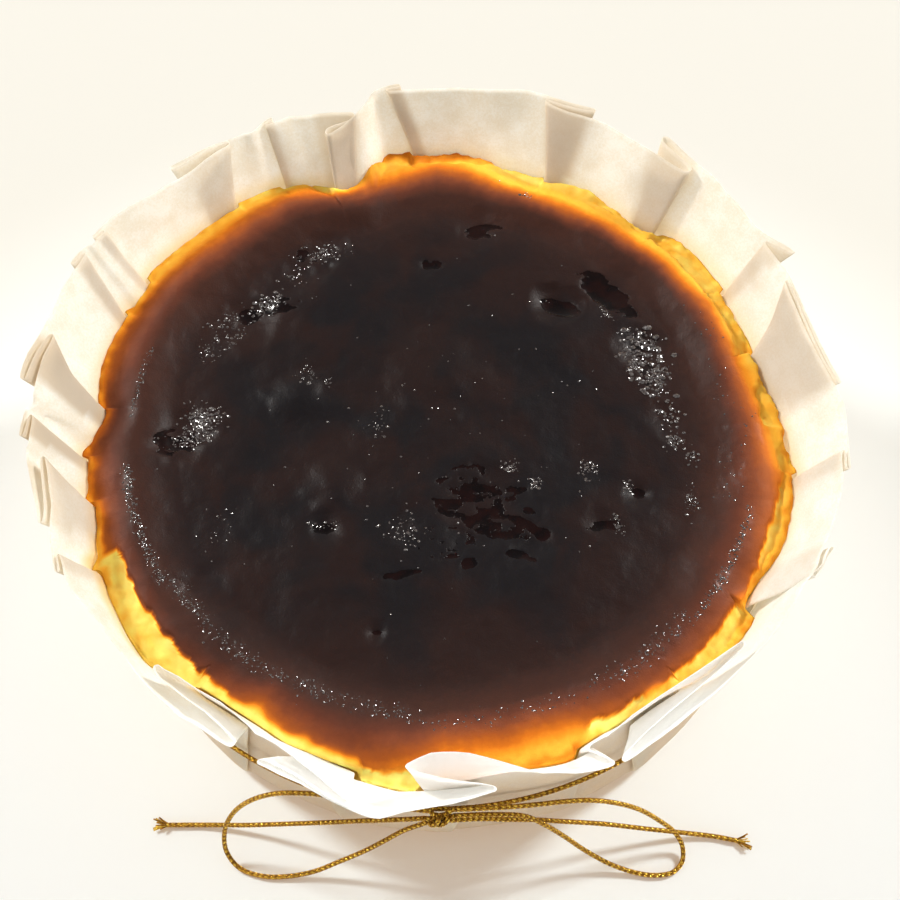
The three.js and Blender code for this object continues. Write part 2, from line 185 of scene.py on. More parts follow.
# ---- pieces, and the maths they share ----
def add_piece(name, points, faces, finishes, face_finish=None, smooth=True):
    """A mesh piece from points in millimetres."""
    mesh = bpy.data.meshes.new(name)
    mesh.from_pydata((np.asarray(points, float) * MM).tolist(), [], faces)
    for finish in finishes:
        mesh.materials.append(finish)
    if face_finish is not None:
        mesh.polygons.foreach_set("material_index", np.asarray(face_finish, dtype=np.int32))
    mesh.polygons.foreach_set("use_smooth", np.full(len(mesh.polygons), smooth))
    mesh.update()
    piece = bpy.data.objects.new(name, mesh)
    bpy.context.scene.collection.objects.link(piece)
    return piece


def point_values(piece, name, values):
    """Stores one number for each point of a piece, for its finish to read."""
    layer = piece.data.attributes.new(name, "FLOAT", "POINT")
    layer.data.foreach_set("value", np.asarray(values, dtype=np.float32))


def band(low, up, count):
    """Quads between two closed rows of count points; low and up are the rows' first points."""
    return [(low + i, low + (i + 1) % count, up + (i + 1) % count, up + i) for i in range(count)]


def unit(vectors):
    return vectors / np.linalg.norm(vectors, axis=1, keepdims=True)


def distances(line):
    """How far along a line each of its points is."""
    return np.r_[0, np.cumsum(np.linalg.norm(np.diff(line, axis=0), axis=1))]


def by_angle(angle, table, column):
    """A column of a table whose rows start with a plan angle in degrees, read at any angle."""
    angles = [row[0] for row in table]
    return np.interp(angle, angles, [row[column] for row in table], period=360)


def mix(a, b, t):
    return a + (b - a) * t


def smoothstep(value, low, high):
    t = np.clip((value - low) / (high - low), 0, 1)
    return t * t * (3 - 2 * t)


def lattice_noise(points, size, seed):
    """Smooth noise from about -1 to 1 at each row of points, with lumps of about size."""
    grid = np.asarray(points, float) / size
    base = np.floor(grid).astype(np.int64)
    part = grid - base
    fade = part * part * (3 - 2 * part)
    total = np.zeros(len(grid))
    for corner in range(8):
        step = np.array([corner & 1, corner >> 1 & 1, corner >> 2 & 1])
        cell = base + step
        mixed = cell[:, 0] * 73856093 ^ cell[:, 1] * 19349663 ^ cell[:, 2] * 83492791 ^ seed * 2654435761
        mixed = (mixed ^ (mixed >> 13)) * 1274126177 & 0xFFFFFFFF
        mixed = (mixed ^ (mixed >> 16)) * 2246822519 & 0xFFFFFFFF
        value = (mixed & 0xFFFF) / 32767.5 - 1
        weight = np.prod(np.where(step, fade, 1 - fade), axis=1)
        total += weight * value
    return total


# ---- the cords ----
LOOP_LEFT = [
    (-2.8, -76, 28), (-7.9, -75.6, 29), (-15.8, -74.3, 30), (-21.8, -73.2, 29.6), (-27.9, -72.1, 28.2),
    (-34.2, -71.3, 25.3), (-39.8, -71.4, 20.5), (-43.9, -72.4, 14.5), (-46.2, -74.5, 8),
    (-46.1, -77.5, 3.2), (-43.5, -80.3, 0.8), (-38.5, -82, 0.7), (-32.8, -82.1, 0.9), (-27.5, -81.4, 2),
    (-22, -80.1, 5), (-16.6, -79.1, 9.5), (-12.3, -78.3, 14.5), (-8.1, -77.5, 19.5), (-4, -77.1, 23.2),
]
LOOP_RIGHT = [
    (1.6, -75.9, 28.6), (6.9, -75.8, 28.8), (12.9, -75.4, 28.2), (18, -74.7, 27), (24.1, -73.8, 25.8),
    (29.3, -73.1, 24), (34.7, -72.7, 20.5), (40.3, -72.8, 15.5), (45, -73.7, 10), (48.6, -75, 5.5),
    (50.6, -77.3, 2), (50.4, -80.2, 0.8), (48.3, -82.3, 0.7), (44.5, -82.9, 0.7), (40.3, -82.3, 0.8),
    (34.9, -80.8, 2.4), (29.4, -78.7, 6), (24.9, -77.2, 11.5), (20.4, -76.2, 17.5), (16.2, -75.5, 21.6),
    (9, -75.9, 24.6), (2, -76.6, 26.6),
]
TAIL_LEFT = [
    (-4, -76.7, 25.4), (-8.1, -76.1, 22.5), (-16.4, -74.8, 17), (-22.8, -73.8, 12.5), (-29.4, -72.9, 8.5),
    (-36.1, -72.1, 5), (-42.8, -71.5, 2.4), (-51.6, -70.9, 0.8), (-59.6, -70.8, 0.7),
]
TAIL_RIGHT = [
    (1.6, -76.9, 24.4), (7.1, -76.2, 22.6), (12.2, -75.7, 20), (18.5, -74.8, 16), (24.9, -74.3, 12.5),
    (33.6, -73.8, 8.2), (42.5, -73.9, 4.4), (51.3, -74.2, 1.6), (57.8, -74.8, 0.7), (62.6, -75.8, 0.7),
]
BRIGHT, CORE, BRONZE = range(3)   # the cord's finishes
STRANDS = 4                   # one way round, and as many the other way
BRAID_PITCH = 5.0             # one turn of a strand
BRAID_RADIUS = 0.40
BRAID_WEAVE = 0.075           # how far a strand moves in and out
STRAND_WIDTH = 0.52
STRAND_THICKNESS = 0.13
CORE_RADIUS = 0.34
CORE_SIDES = 8
BRAID_STEP = 0.2
RING_STEP = BRAID_STEP * 1.4
CURVE_STEPS = 40              # between two points of a route
LOOSE_STRANDS = 16            # of a tail's frayed end
LOOSE_STEPS = 9
LOOSE_START = 1.0             # how far inside the cord they start
LOOSE_THICKNESS = 0.07
LOOSE_LOWEST = 0.12
KNOT_INSET = 0.45             # of a wrap's middle line from the knot's box
KNOT_WRAPS = ((-0.42, 0.55), (0.38, 0.75))    # sideways shift and slant, of half the knot's width
KNOT_STEP = 0.12
STUB_STEP = 0.15


def route_through(points, step):
    """Evenly spaced points along the centripetal curve through the given ones."""
    given = np.asarray(points, float)
    padded = np.vstack([2 * given[0] - given[1], given, 2 * given[-1] - given[-2]])
    fine = []
    for p0, p1, p2, p3 in zip(padded, padded[1:], padded[2:], padded[3:]):
        t1 = np.linalg.norm(p1 - p0) ** 0.5
        t2 = t1 + np.linalg.norm(p2 - p1) ** 0.5
        t3 = t2 + np.linalg.norm(p3 - p2) ** 0.5
        for t in np.linspace(t1, t2, CURVE_STEPS, endpoint=False):
            a1 = (t1 - t) / t1 * p0 + t / t1 * p1
            a2 = (t2 - t) / (t2 - t1) * p1 + (t - t1) / (t2 - t1) * p2
            a3 = (t3 - t) / (t3 - t2) * p2 + (t - t2) / (t3 - t2) * p3
            b1 = (t2 - t) / t2 * a1 + t / t2 * a2
            b2 = (t3 - t) / (t3 - t1) * a2 + (t - t1) / (t3 - t1) * a3
            fine.append((t2 - t) / (t2 - t1) * b1 + (t - t1) / (t2 - t1) * b2)
    fine.append(given[-1])
    return even_points(np.array(fine), step)


def even_points(line, step):
    along = distances(line)
    places = np.linspace(0, along[-1], max(2, int(along[-1] / step) + 1))
    return np.stack([np.interp(places, along, line[:, axis]) for axis in range(3)], axis=1)


def carried_sides(line):
    """Two side directions at each point of a line, without needless twist."""
    tangents = unit(np.gradient(line, axis=0))
    side = np.cross(tangents[0], (0.0, 0.0, 1.0))
    if np.linalg.norm(side) < 0.1:
        side = np.cross(tangents[0], (1.0, 0.0, 0.0))
    sides = []
    for tangent in tangents:
        side = side - tangent * np.dot(side, tangent)
        side = side / np.linalg.norm(side)
        sides.append(side)
    sides = np.array(sides)
    return sides, np.cross(tangents, sides)


class MeshParts:
    """Gathers points and faces of one piece, with a finish for each face."""

    def __init__(self):
        self.points = []
        self.faces = []
        self.finishes = []
        self.count = 0

    def add(self, rings, finish, closed=False):
        """A tube through rings of points (rows, around, 3), capped unless closed."""
        rows, around, _ = rings.shape
        start = self.count
        self.points.append(rings.reshape(-1, 3))
        self.count += rows * around
        steps = rows if closed else rows - 1
        for row in range(steps):
            self.faces += band(start + row * around, start + (row + 1) % rows * around, around)
        made = steps * around
        if not closed:
            self.faces.append(tuple(start + i for i in reversed(range(around))))
            self.faces.append(tuple(start + (rows - 1) * around + i for i in range(around)))
            made += 2
        self.finishes += [finish] * made

    def piece(self, name, finishes, slot):
        return add_piece(name, np.vstack(self.points), self.faces, finishes, self.finishes)


def lens_section(middle, outward, along, width, thickness):
    """Rings of four points: a flat strand, thickest in its middle."""
    across = np.cross(along, outward)
    return np.stack([
        middle - across * width / 2, middle + outward * thickness / 2,
        middle + across * width / 2, middle - outward * thickness / 2], axis=1)


def add_braid(parts, line, closed=False):
    """A round braid of flat strands over a core, along line."""
    sides, ups = carried_sides(line)
    along = distances(line)
    turns = along[-1] / BRAID_PITCH
    if closed:
        turns = round(turns * STRANDS) / STRANDS
    angle = 2 * math.pi * turns * along / along[-1]
    rows = slice(0, -1) if closed else slice(None)
    around = np.linspace(0, 2 * math.pi, CORE_SIDES, endpoint=False)[None, :, None]
    core = line[:, None] + CORE_RADIUS * (np.cos(around) * sides[:, None] + np.sin(around) * ups[:, None])
    parts.add(core[rows], CORE, closed)
    for way in (1, -1):
        for strand in range(STRANDS):
            phase = way * angle + strand * 2 * math.pi / STRANDS
            outward = np.cos(phase)[:, None] * sides + np.sin(phase)[:, None] * ups
            reach = BRAID_RADIUS + way * BRAID_WEAVE * np.cos(STRANDS * angle)
            middle = line + outward * reach[:, None]
            run = unit(np.gradient(middle, axis=0))
            outward = outward - run * np.sum(outward * run, axis=1, keepdims=True)
            rings = lens_section(middle, outward, run, STRAND_WIDTH, STRAND_THICKNESS)
            parts.add(rings[rows], BRIGHT if way > 0 else BRONZE, closed)


def add_fray(parts, end, direction, draw):
    """Loose ends of the strands, fanned out where the cord was cut."""
    direction = np.asarray(direction) / np.linalg.norm(direction)
    for strand in range(LOOSE_STRANDS):
        spread = np.array([draw.uniform(-1, 1), draw.uniform(-1, 1), draw.uniform(-0.25, 0.6)])
        spread -= direction * spread.dot(direction)
        reach = draw.uniform(2.2, 4.2)
        steps = np.linspace(0, 1, LOOSE_STEPS)[:, None]
        middle = end + direction * (reach * steps - LOOSE_START) + spread * 1.5 * steps ** 1.4
        middle[:, 2] = np.maximum(middle[:, 2], LOOSE_LOWEST)
        run = unit(np.gradient(middle, axis=0))
        turn = draw.uniform(0, math.pi)
        face = np.array([math.cos(turn) * 0.4, math.sin(turn) * 0.4, 1.0])
        outward = unit(face - run * (run @ face)[:, None])
        width = draw.uniform(0.28, 0.5)
        rings = lens_section(middle, outward, run, width, LOOSE_THICKNESS)
        parts.add(rings, BRIGHT if strand % 3 else BRONZE)


def make_cords(golds):
    """The bow's four free cords, the tie round the case and its knot."""
    bow = {
        "bow_loop_left": (LOOP_LEFT, "object"), "bow_loop_right": (LOOP_RIGHT, "object"),
        "bow_tail_left": (TAIL_LEFT, "bare"), "bow_tail_right": (TAIL_RIGHT, "bare"),
    }
    draw = random.Random(SEED)
    for node, (route, far_end) in bow.items():
        line = route_through(route, BRAID_STEP)
        parts = MeshParts()
        add_braid(parts, line)
        piece = parts.piece(node + "_braid", golds, "gold_cord")
        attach(piece, "root")
        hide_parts(node)
        ends = []
        if far_end == "bare":
            loose = MeshParts()
            add_fray(loose, line[-1], line[-1] - line[-6], draw)
            ends = [loose.piece(node + "_frayed_end", golds, "gold_cord")]
            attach(ends[0], "root")
    make_tie_ring(golds)
    make_tie_knot(golds)


def make_tie_ring(golds):
    around = np.linspace(0, 2 * math.pi, 1200)
    tilt = math.radians(RING_TILT_DEG)
    x = RING_RADIUS * np.cos(around)
    line = np.stack([x * math.cos(tilt), RING_RADIUS * np.sin(around), RING_Z + x * math.sin(tilt)], axis=1)
    parts = MeshParts()
    add_braid(parts, even_points(line, RING_STEP), closed=True)
    ring = parts.piece("tie_ring_braid", golds, "gold_cord")
    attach(ring, "root")
    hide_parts("tie_ring")


def make_tie_knot(golds):
    """Two slanting wraps drawn tight over the start of each of the bow's cords."""
    low, high = (np.array(corner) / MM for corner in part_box("tie_knot"))
    centre = (low + high) / 2
    half = (high - low) / 2 - KNOT_INSET
    t = np.linspace(0, 2 * math.pi, 200)
    parts = MeshParts()
    for shift, slant in KNOT_WRAPS:
        wrap = np.stack([shift + slant * np.sin(t), np.cos(t), (1.05 - 0.25 * shift) * np.sin(t)], axis=1)
        add_braid(parts, even_points(centre + half * wrap, KNOT_STEP), closed=True)
    for route in (LOOP_LEFT, LOOP_LEFT[::-1], LOOP_RIGHT, LOOP_RIGHT[::-1], TAIL_LEFT, TAIL_RIGHT):
        start = np.array(route[0])
        stub = [centre + (start - centre) * share for share in (0.25, 0.7)] + [start]
        add_braid(parts, route_through(stub, STUB_STEP))
    knot = parts.piece("tie_knot_braid", golds, "gold_cord")
    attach(knot, "root")
    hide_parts("tie_knot")


def gold_finishes():
    """Bright metallic strands, the core's dark thread, and darker bronze strands."""
    made = []
    for name, light, dark, metallic, rough in (
        ("gold_strand", (1.0, 0.68, 0.11), (0.60, 0.31, 0.025), 0.9, 0.20),
        ("cord_core", (0.10, 0.05, 0.012), (0.05, 0.025, 0.008), 0.2, 0.6),
        ("bronze_strand", (0.50, 0.24, 0.03), (0.20, 0.085, 0.010), 0.9, 0.36),
    ):
        finish = Finish(name)
        color = finish.mix(finish.noise(0.5, detail=3).smooth(0.35, 0.65), dark, light)
        threads = finish.noise(0.09, detail=1)
        made.append(finish.show_surface({
            "Base Color": color, "Metallic": metallic, "Roughness": rough + 0.14 * threads,
            "Normal": finish.bump(threads, 0.03)}))
    return made


# ---- the paper case ----
WALL_PROFILE = [(0, 71.6), (1.6, 72.9), (4, 73.2), (RING_Z, 73.3), (CAKE_EDGE_Z, CAKE_RADIUS + 0.5)]
FOLD_START_Z = 4
RING_WINDOW_DEG = 2           # the half width of a pleat's points at the floor, where it isn't folded
FIRST_LAP_DEG = 0.25          # half a pleat's overlap where its folds start
PLEAT_MARGIN_DEG = 2.4        # between a fold and the flat panel beside it, at most
PITCH_LOW = 0.62              # from layer to layer up to the tie, and at the cake's edge
PITCH_EDGE = 0.85
TIP_LIMIT = 1.1               # the longest rounding of a fold
PANEL_STEP_DEG = 7
RIM_ROWS = 19
WALL_ROWS = 18
BASE_SHARES = (0.1, 0.4, 0.7, 0.9)            # the base's inner rows, of its outline
BULGE_SHARES = (0.5, 0.35)    # how far along the first and the last layer their bulges are
# Each pleat is a Z fold: its two folds' plan angles at the rim and at the cake's edge, which layer
# lies inside, the rim's radius where the sheet meets it (panel, far fold, near fold, panel), the
# rim's height there, how far the layers gape, and how far the first layer bulges out and the last
# one bulges in.
PLEATS = [
    ((2.2, 21.2), (3.5, 14), 1, (82.2, 79.8, 81.6, 80.6), 59, 1.2, (0, 0)),
    ((24.8, 28.7), (27, 28.6), 1, (80.3, 81.2, 83.8, 81.2), 59, 1, (0, 0)),
    ((45.4, 53), (46, 50.5), -1, (81.6, 82, 80.9, 78.9), 60, 2.4, (0, 0)),
    ((64.2, 72.4), (65.5, 69), 1, (80.2, 82, 82.2, 83.3), 59.5, 1.1, (0, 0)),
    ((95.6, 98), (92, 94), 1, (82.4, 82.9, 83.1, 82.8), 59.3, 1, (0, 0)),
    ((103.6, 109.7), (106, 110.5), 1, (80, 75.9, 76.9, 81), 58.5, 2.4, (0, 0)),
    ((116.5, 118.2), (116.8, 118.2), 1, (81.6, 81.6, 81.9, 81.1), 59, 0.9, (0, 0)),
    ((124.4, 134.5), (128, 133.5), -1, (82.4, 83.6, 82.5, 80.8), 59, 1.4, (0, 0)),
    ((149, 151), (149.3, 150.7), -1, (84.4, 84.2, 84.2, 83.9), 59.5, 0.9, (0, 0)),
    ((153.8, 156.4), (156.6, 158.6), -1, (85.2, 85, 84.9, 84.5), 59.5, 1, (0, 0)),
    ((168.4, 176.3), (175.5, 178), -1, (83.6, 84.6, 82.6, 83.2), 60.2, 1.6, (0, 0)),
    ((181.4, 184.8), (184.4, 186.2), -1, (83.2, 83.8, 82.8, 83), 59, 1, (0, 0)),
    ((188, 198.5), (193, 199), -1, (83.8, 82.4, 81, 81.6), 58.5, 1.3, (0, 0)),
    ((203.5, 206), (204, 206), -1, (82.2, 82, 81.8, 81.4), 58, 0.9, (0, 0)),
    ((225.6, 241.6), (229.5, 239.5), -1, (80.6, 79.8, 78.4, 76.7), (57.5, 56.5, 57.5, 57.5), 2.1, (0.6, 0)),
    ((245, 258.2), (248, 257), 1, (77.2, 83.8, 80.8, 84.6), (58, 54, 56, 53), 1.5, (0, 0)),
    ((264.6, 277), (267, 275.5), -1, (84.6, 79.8, 77, 77.4), (52.5, 55.5, 57, 58), 1.4, (0, 4)),
    ((290, 292.6), (290.5, 292.6), -1, (81.4, 80.8, 78.6, 76.7), 58, 1.6, (0, 0)),
    ((293.8, 318), (299, 309), 1, (76.6, 78.2, 80.4, 80.6), (57.5, 57, 55, 55.5), 1.6, (0, 0.5)),
    ((331, 336.6), (326.5, 334.5), -1, (80.8, 82.8, 83, 82.2), 58.5, 1.3, (0, 0)),
    ((348.5, 351.5), (349, 351), 1, (82.4, 82.8, 82.8, 83), 59, 1, (0, 0)),
]
# How far the wall leans in from round at the cake's edge (out, where negative): plan angle, mm.
LEAN = [
    (0, 2.4), (3, 2.2), (9, 4.6), (14, 6.6), (18, 4.6), (27, 3.4), (35, 3), (41, 1.8), (44, 3.4), (46, 5),
    (50.5, 6), (53, 4.8), (58, 4), (63, 4.2), (69, 6.4), (76, 5.6), (81, 1.4), (88, 1.2), (94, 2.4),
    (100, 1.8), (103.6, 9), (106, 9.6), (110.5, 9.8), (113, 5), (117, 2.2), (128, 1), (134, 0), (148, 0),
    (154, 1.2), (158, 0.6), (166, 0.4), (172, 2.4), (175.5, 4.8), (178, 4.2), (180.5, 1.6), (188, 1),
    (194, 2.2), (198, 1), (202, -0.8), (211, -1.8), (222, -1.6), (226, 1), (232, 1.9), (241, 1.8),
    (246, 0.8), (252, 0.2), (259, -0.2), (267, -1.2), (272, -0.4), (278, 0.6), (290, 0.8), (294, 1.8),
    (300, 2), (309, 1.7), (315, 0.8), (320, 0.2), (325, 0.6), (327, 2.4), (330, 2.8), (333, 1.8),
    (336, 0.4), (342, -0.2), (349, 0.4), (353, 1.6), (357, 2.6),
]
# Tones of the paper by plan angle: how much painted shade darkens it where it is folded over itself,
# how yellow it is next to the cake and how much painted glare whitens it.
PAPER_TONES = [
    (0, 0.35, 0.5, 0), (25, 0.4, 0.3, 0), (48, 0.4, 0.3, 0), (68, 0.6, 0.3, 0), (106, 0.6, 0.4, 0),
    (130, 0.1, 0.6, 0), (150, 0.3, 0.5, 0), (172, 0.85, 0.4, 0), (186, 0.9, 0.5, 0), (193, 0.35, 0.6, 0),
    (205, 0.3, 1, 0), (218, 0.1, 0.6, 0), (235, 0, 0.3, 0.6), (250, 0, 0, 1), (305, 0, 0, 1),
    (325, 0, 0.2, 0.3), (345, 0.2, 0.4, 0),
]


def along_profile(z):
    heights, radii = zip(*WALL_PROFILE)
    return float(np.interp(z, heights, radii))


def turn_to(start, end):
    return (end - start) % 360


def fold_angles(pleat, z, flare):
    """Plan angles of a pleat's two folds at a level of the wall or a share of the flare."""
    rim, edge = pleat[:2]
    middle = (edge[0] + edge[1]) / 2
    spread = min(1, max(0, (z - FOLD_START_Z) / (CAKE_EDGE_Z - FOLD_START_Z)))
    low = mix(middle - FIRST_LAP_DEG, edge[0], spread)
    high = mix(middle + FIRST_LAP_DEG, edge[1], spread)
    return mix(low, rim[0], flare), mix(high, rim[1], flare)


def pleat_points(i, z, flare):
    """The (angle, radius, rim height) points across pleat i at a level, before the wall leans."""
    _, edge, side, rim_radii, high, gape, bulge = PLEATS[i]
    a, b = fold_angles(PLEATS[i], z, flare)
    last_b = fold_angles(PLEATS[i - 1], z, flare)[1]
    next_a = fold_angles(PLEATS[(i + 1) % len(PLEATS)], z, flare)[0]
    margin_a = min(PLEAT_MARGIN_DEG, 0.35 * turn_to(last_b, a))
    margin_b = min(PLEAT_MARGIN_DEG, 0.35 * turn_to(b, next_a))
    low_pitch = float(np.interp(z, (RING_Z, CAKE_EDGE_Z), (PITCH_LOW, PITCH_EDGE)))
    inward = -side * mix(low_pitch, gape, flare ** 1.3)
    wall = along_profile(z)
    shifts = (-side * low_pitch, 0, 0, side * low_pitch)
    before, at_b, at_a, behind = (
        mix(wall + shift, radius, flare) for shift, radius in zip(shifts, rim_radii))
    highs = high if isinstance(high, tuple) else (high,) * 4
    nose = math.degrees(min(abs(inward) / 2, TIP_LIMIT) / wall)
    folded = [
        (a - margin_a, before, highs[0]),
        (b - nose, at_b + inward, highs[1]), (b, at_b + inward / 2, highs[1]), (b - nose, at_b, highs[1]),
        (a + nose, at_a, highs[2]), (a, at_a - inward / 2, highs[2]), (a + nose, at_a - inward, highs[2]),
        (b + margin_b, behind, highs[3]),
    ]
    for place, share, outward in ((-1, BULGE_SHARES[1], -bulge[1]), (1, BULGE_SHARES[0], bulge[0])):
        if outward:
            angle, radius, height = (
                mix(one, other, share) for one, other in zip(folded[place - 1], folded[place]))
            folded.insert(place, (angle, radius + outward * flare, height))
    centre = (edge[0] + edge[1]) / 2
    formed = min(1, z / FOLD_START_Z)
    result = []
    for k, (angle, radius, height) in enumerate(folded):
        even = centre + RING_WINDOW_DEG * (2 * k / (len(folded) - 1) - 1)
        result.append((mix(even, angle, formed), mix(wall, radius, formed), height))
    return result


def lean_here(angle, z, flare):
    """How far the wall leans in from round at a plan angle and level."""
    most = float(by_angle(angle, LEAN, 1))
    return most * (1 - flare) * float(smoothstep(z, RING_Z, CAKE_EDGE_Z))


def at_polar(angle, radius):
    turn = math.radians(angle)
    return np.array([math.cos(turn), math.sin(turn)]) * radius


def case_section(z, flare):
    """The sheet's middle line at a level, as points (x, y, z) all the way round."""
    across = [pleat_points(i, z, flare) for i in range(len(PLEATS))]

    def leaning(angle, radius):
        return at_polar(angle, radius - lean_here(angle, z, flare))

    points = []
    for i, pleat in enumerate(PLEATS):
        following = PLEATS[(i + 1) % len(PLEATS)]
        points += [(*leaning(angle, radius), mix(z, high, flare)) for angle, radius, high in across[i]]
        start = across[i][-1]
        end = across[(i + 1) % len(PLEATS)][0]
        width = turn_to(start[0], end[0])
        steps = max(2, round(turn_to(pleat[0][1], following[0][0]) / PANEL_STEP_DEG))
        for k in range(1, steps):
            t = k / steps
            curved = leaning(start[0] + t * width, mix(start[1], end[1], t))
            straight = mix(leaning(*start[:2]), leaning(*end[:2]), t)
            plan = mix(curved, straight, 0.6 * flare)
            points.append((*plan, mix(z, mix(start[2], end[2], t), flare)))
    return np.array(points)


def innermost(z, flare, angles):
    """Least distance from the axis to the paper's middle line, at each plan angle in degrees."""
    points = case_section(z, flare)[:, :2]
    count = len(angles)
    least = np.full(count, math.inf)
    for p, q in zip(points, np.roll(points, -1, axis=0)):
        steps = 2 + int(np.linalg.norm(q - p) / 0.2)
        x, y = mix(p[:, None], q[:, None], np.arange(steps) / steps)
        places = np.round(np.degrees(np.arctan2(y, x)) / 360 * count).astype(int) % count
        np.minimum.at(least, places, np.hypot(x, y))
    return least


def rounded_section(z, flare):
    """The section with its corners cut twice, so that its folds are round."""
    line = case_section(z, flare)
    for _ in range(2):
        following = np.roll(line, -1, axis=0)
        cut = np.stack([0.75 * line + 0.25 * following, 0.25 * line + 0.75 * following], axis=1)
        line = cut.reshape(-1, 3)
    return line


def in_pleats(row, z, flare):
    """Whether each point of a row lies where a pleat covers itself."""
    angle = np.degrees(np.arctan2(row[:, 1], row[:, 0]))
    folded = np.zeros(len(row), dtype=bool)
    for pleat in PLEATS:
        a, b = fold_angles(pleat, z, flare)
        folded |= (angle - a) % 360 <= turn_to(a, b)
    return folded


def make_paper_case(finish):
    heights = np.r_[0.7, 1.6, 2.8, np.linspace(FOLD_START_Z, CAKE_EDGE_Z, WALL_ROWS)]
    levels = [(z, 0) for z in heights]
    levels += [(CAKE_EDGE_Z, flare) for flare in np.linspace(0, 1, RIM_ROWS + 1)[1:]]
    rows = [rounded_section(z, flare) for z, flare in levels]
    base = rounded_section(0, 0)
    base[:, 2] = SHEET / 2
    rows = [base * (share, share, 1) for share in BASE_SHARES] + [base] + rows
    levels = [(0, 0)] * (len(BASE_SHARES) + 1) + levels
    columns = len(base)
    hub = len(rows) * columns
    faces = []
    for low in range(0, hub - columns, columns):
        faces += band(low, low + columns, columns)
    faces += [(hub, (i + 1) % columns, i) for i in range(columns)]
    flat = np.vstack(rows + [np.array([[0, 0, SHEET / 2]])])
    paper = add_piece("pleated_paper", crumple_paper(flat), faces, [finish])
    layers = [in_pleats(row, z, flare) for row, (z, flare) in zip(rows, levels)]
    angle = np.degrees(np.arctan2(flat[:, 1], flat[:, 0]))
    dark, yellow, white = (by_angle(angle, PAPER_TONES, k) for k in (1, 2, 3))
    beside_cake = 1 - smoothstep(flat[:, 2], CAKE_EDGE_Z, CAKE_EDGE_Z + 4)
    below_edge = 1 - smoothstep(flat[:, 2], CAKE_EDGE_Z - 12, CAKE_EDGE_Z + 1)
    # painted shade: where a pleat covers itself the paper is darkened, more at some angles
    point_values(paper, "layers", dark * np.r_[np.concatenate(layers), 0])
    point_values(paper, "soaked", np.maximum(yellow * beside_cake * (1 - below_edge), 0.25 * below_edge))
    # painted glare: the paper above the cake's edge at the front made whiter
    point_values(paper, "white", white * (1 - below_edge))
    thick = paper.modifiers.new("thickness", "SOLIDIFY")
    thick.thickness = SHEET * MM
    thick.offset = 0
    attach(paper, "root")
    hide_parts("parchment_case")


def crumple_paper(points):
    """The sheet's points moved in and out by soft waves, sharp creases and fine crinkles."""
    radius = np.hypot(points[:, 0], points[:, 1])
    free = smoothstep(points[:, 2], CAKE_EDGE_Z - 1, CAKE_EDGE_Z + 9)
    wall = smoothstep(points[:, 2], 3, 8) * (1 - free)
    angle = np.arctan2(points[:, 1], points[:, 0])
    unrolled = np.stack([angle * CAKE_RADIUS, points[:, 2] * 0.45, radius * 0.1], axis=1)
    waves = lattice_noise(unrolled, 9, 1)
    crease = 1 - 2 * np.abs(lattice_noise(unrolled, 6.5, 2))
    crinkle = lattice_noise(points, 2.2, 3)
    out = free * (0.55 * waves + 0.3 * crease + 0.07 * crinkle)
    out += wall * (0.12 + 0.12 * waves + 0.1 * crease + 0.03 * crinkle)
    out += 0.06 * np.exp(-((points[:, 2] - CAKE_EDGE_Z) / 2.5) ** 2)   # clear of the cake's edge
    out *= 1 - 0.8 * np.exp(-((points[:, 2] - RING_Z) / 3) ** 2)       # and of the tie
    moved = points.copy()
    moved[:, :2] *= ((radius + out) / np.maximum(radius, 1e-6))[:, None]
    moved[:, 2] += free * 0.5 * lattice_noise(unrolled, 7, 4)
    return moved


def paper_finish():
    """Cloudy pale paper with painted shade where a pleat lies threefold, painted glare whitening its front,
    and yellower next to the cake.
    """
    finish = Finish("baking_paper")
    cloudy = finish.noise(5, detail=4, roughness=0.6)
    fibre = finish.noise(0.5, detail=3, roughness=0.75)
    tone = (0.45 * cloudy + 0.55 * fibre).smooth(0.36, 0.64)
    layers = finish.attribute("layers")
    soaked = finish.attribute("soaked") * cloudy.smooth(0.2, 0.6)
    white = finish.attribute("white")

    def sheet(dim, clear, folded, fatty):
        # painted glare whitens the single sheet at the front; painted shade then darkens its folded parts
        single = finish.mix(white, finish.mix(tone, dim, clear), (1.0, 1.0, 0.99))
        return finish.mix(soaked, finish.mix(layers, single, folded), fatty)

    # the third colour of each sheet is the painted shade of its folded parts
    color = sheet((0.90, 0.86, 0.785), (0.99, 0.98, 0.95), (0.82, 0.745, 0.62), (0.91, 0.76, 0.46))
    through = sheet((0.94, 0.885, 0.775), (1.0, 0.985, 0.935), (0.82, 0.72, 0.57), (0.95, 0.79, 0.45))
    normal = finish.bump(fibre, 0.03)
    skin = finish.node("ShaderNodeBsdfPrincipled", None, {
        "Base Color": color, "Roughness": 0.62 + 0.1 * fibre, "Normal": normal, "Specular IOR Level": 0.35})
    glow = finish.node("ShaderNodeBsdfTranslucent", None, {"Color": through, "Normal": normal})
    return finish.show(finish.node("ShaderNodeMixShader", None, {0: 0.56, 1: skin, 2: glow}))


# ---- the cake ----
# Broad dips and humps (negative) of the crust: x, y, radius, depth.
DIPS = [
    (26.4, 31.4, 7, 1.7), (37, 34.6, 8, 0.9), (44.5, 19.5, 8, 1.1), (48, 2, 6, 0.7),
    (-40.4, 28.5, 8, 1.1), (-30, 41, 7, 0.8), (-24.7, 46.4, 6, 0.7), (-54, -0.5, 8, 1.1),
    (9, -18, 12, 0.9), (18.7, -26, 7, 0.6), (40.9, -15.4, 4, 0.8), (33, -22, 5, 0.6),
    (-24, -22.5, 4.5, 0.8), (-12.9, -45.1, 3, 0.5), (-52, -37, 7, 0.9), (9.5, 51, 7, 0.5),
    (-2.2, 42.4, 4, 0.4), (-29.9, 9, 8, -1.1), (-22.8, -11.4, 8, -0.9), (0, 15, 13, -0.6),
]
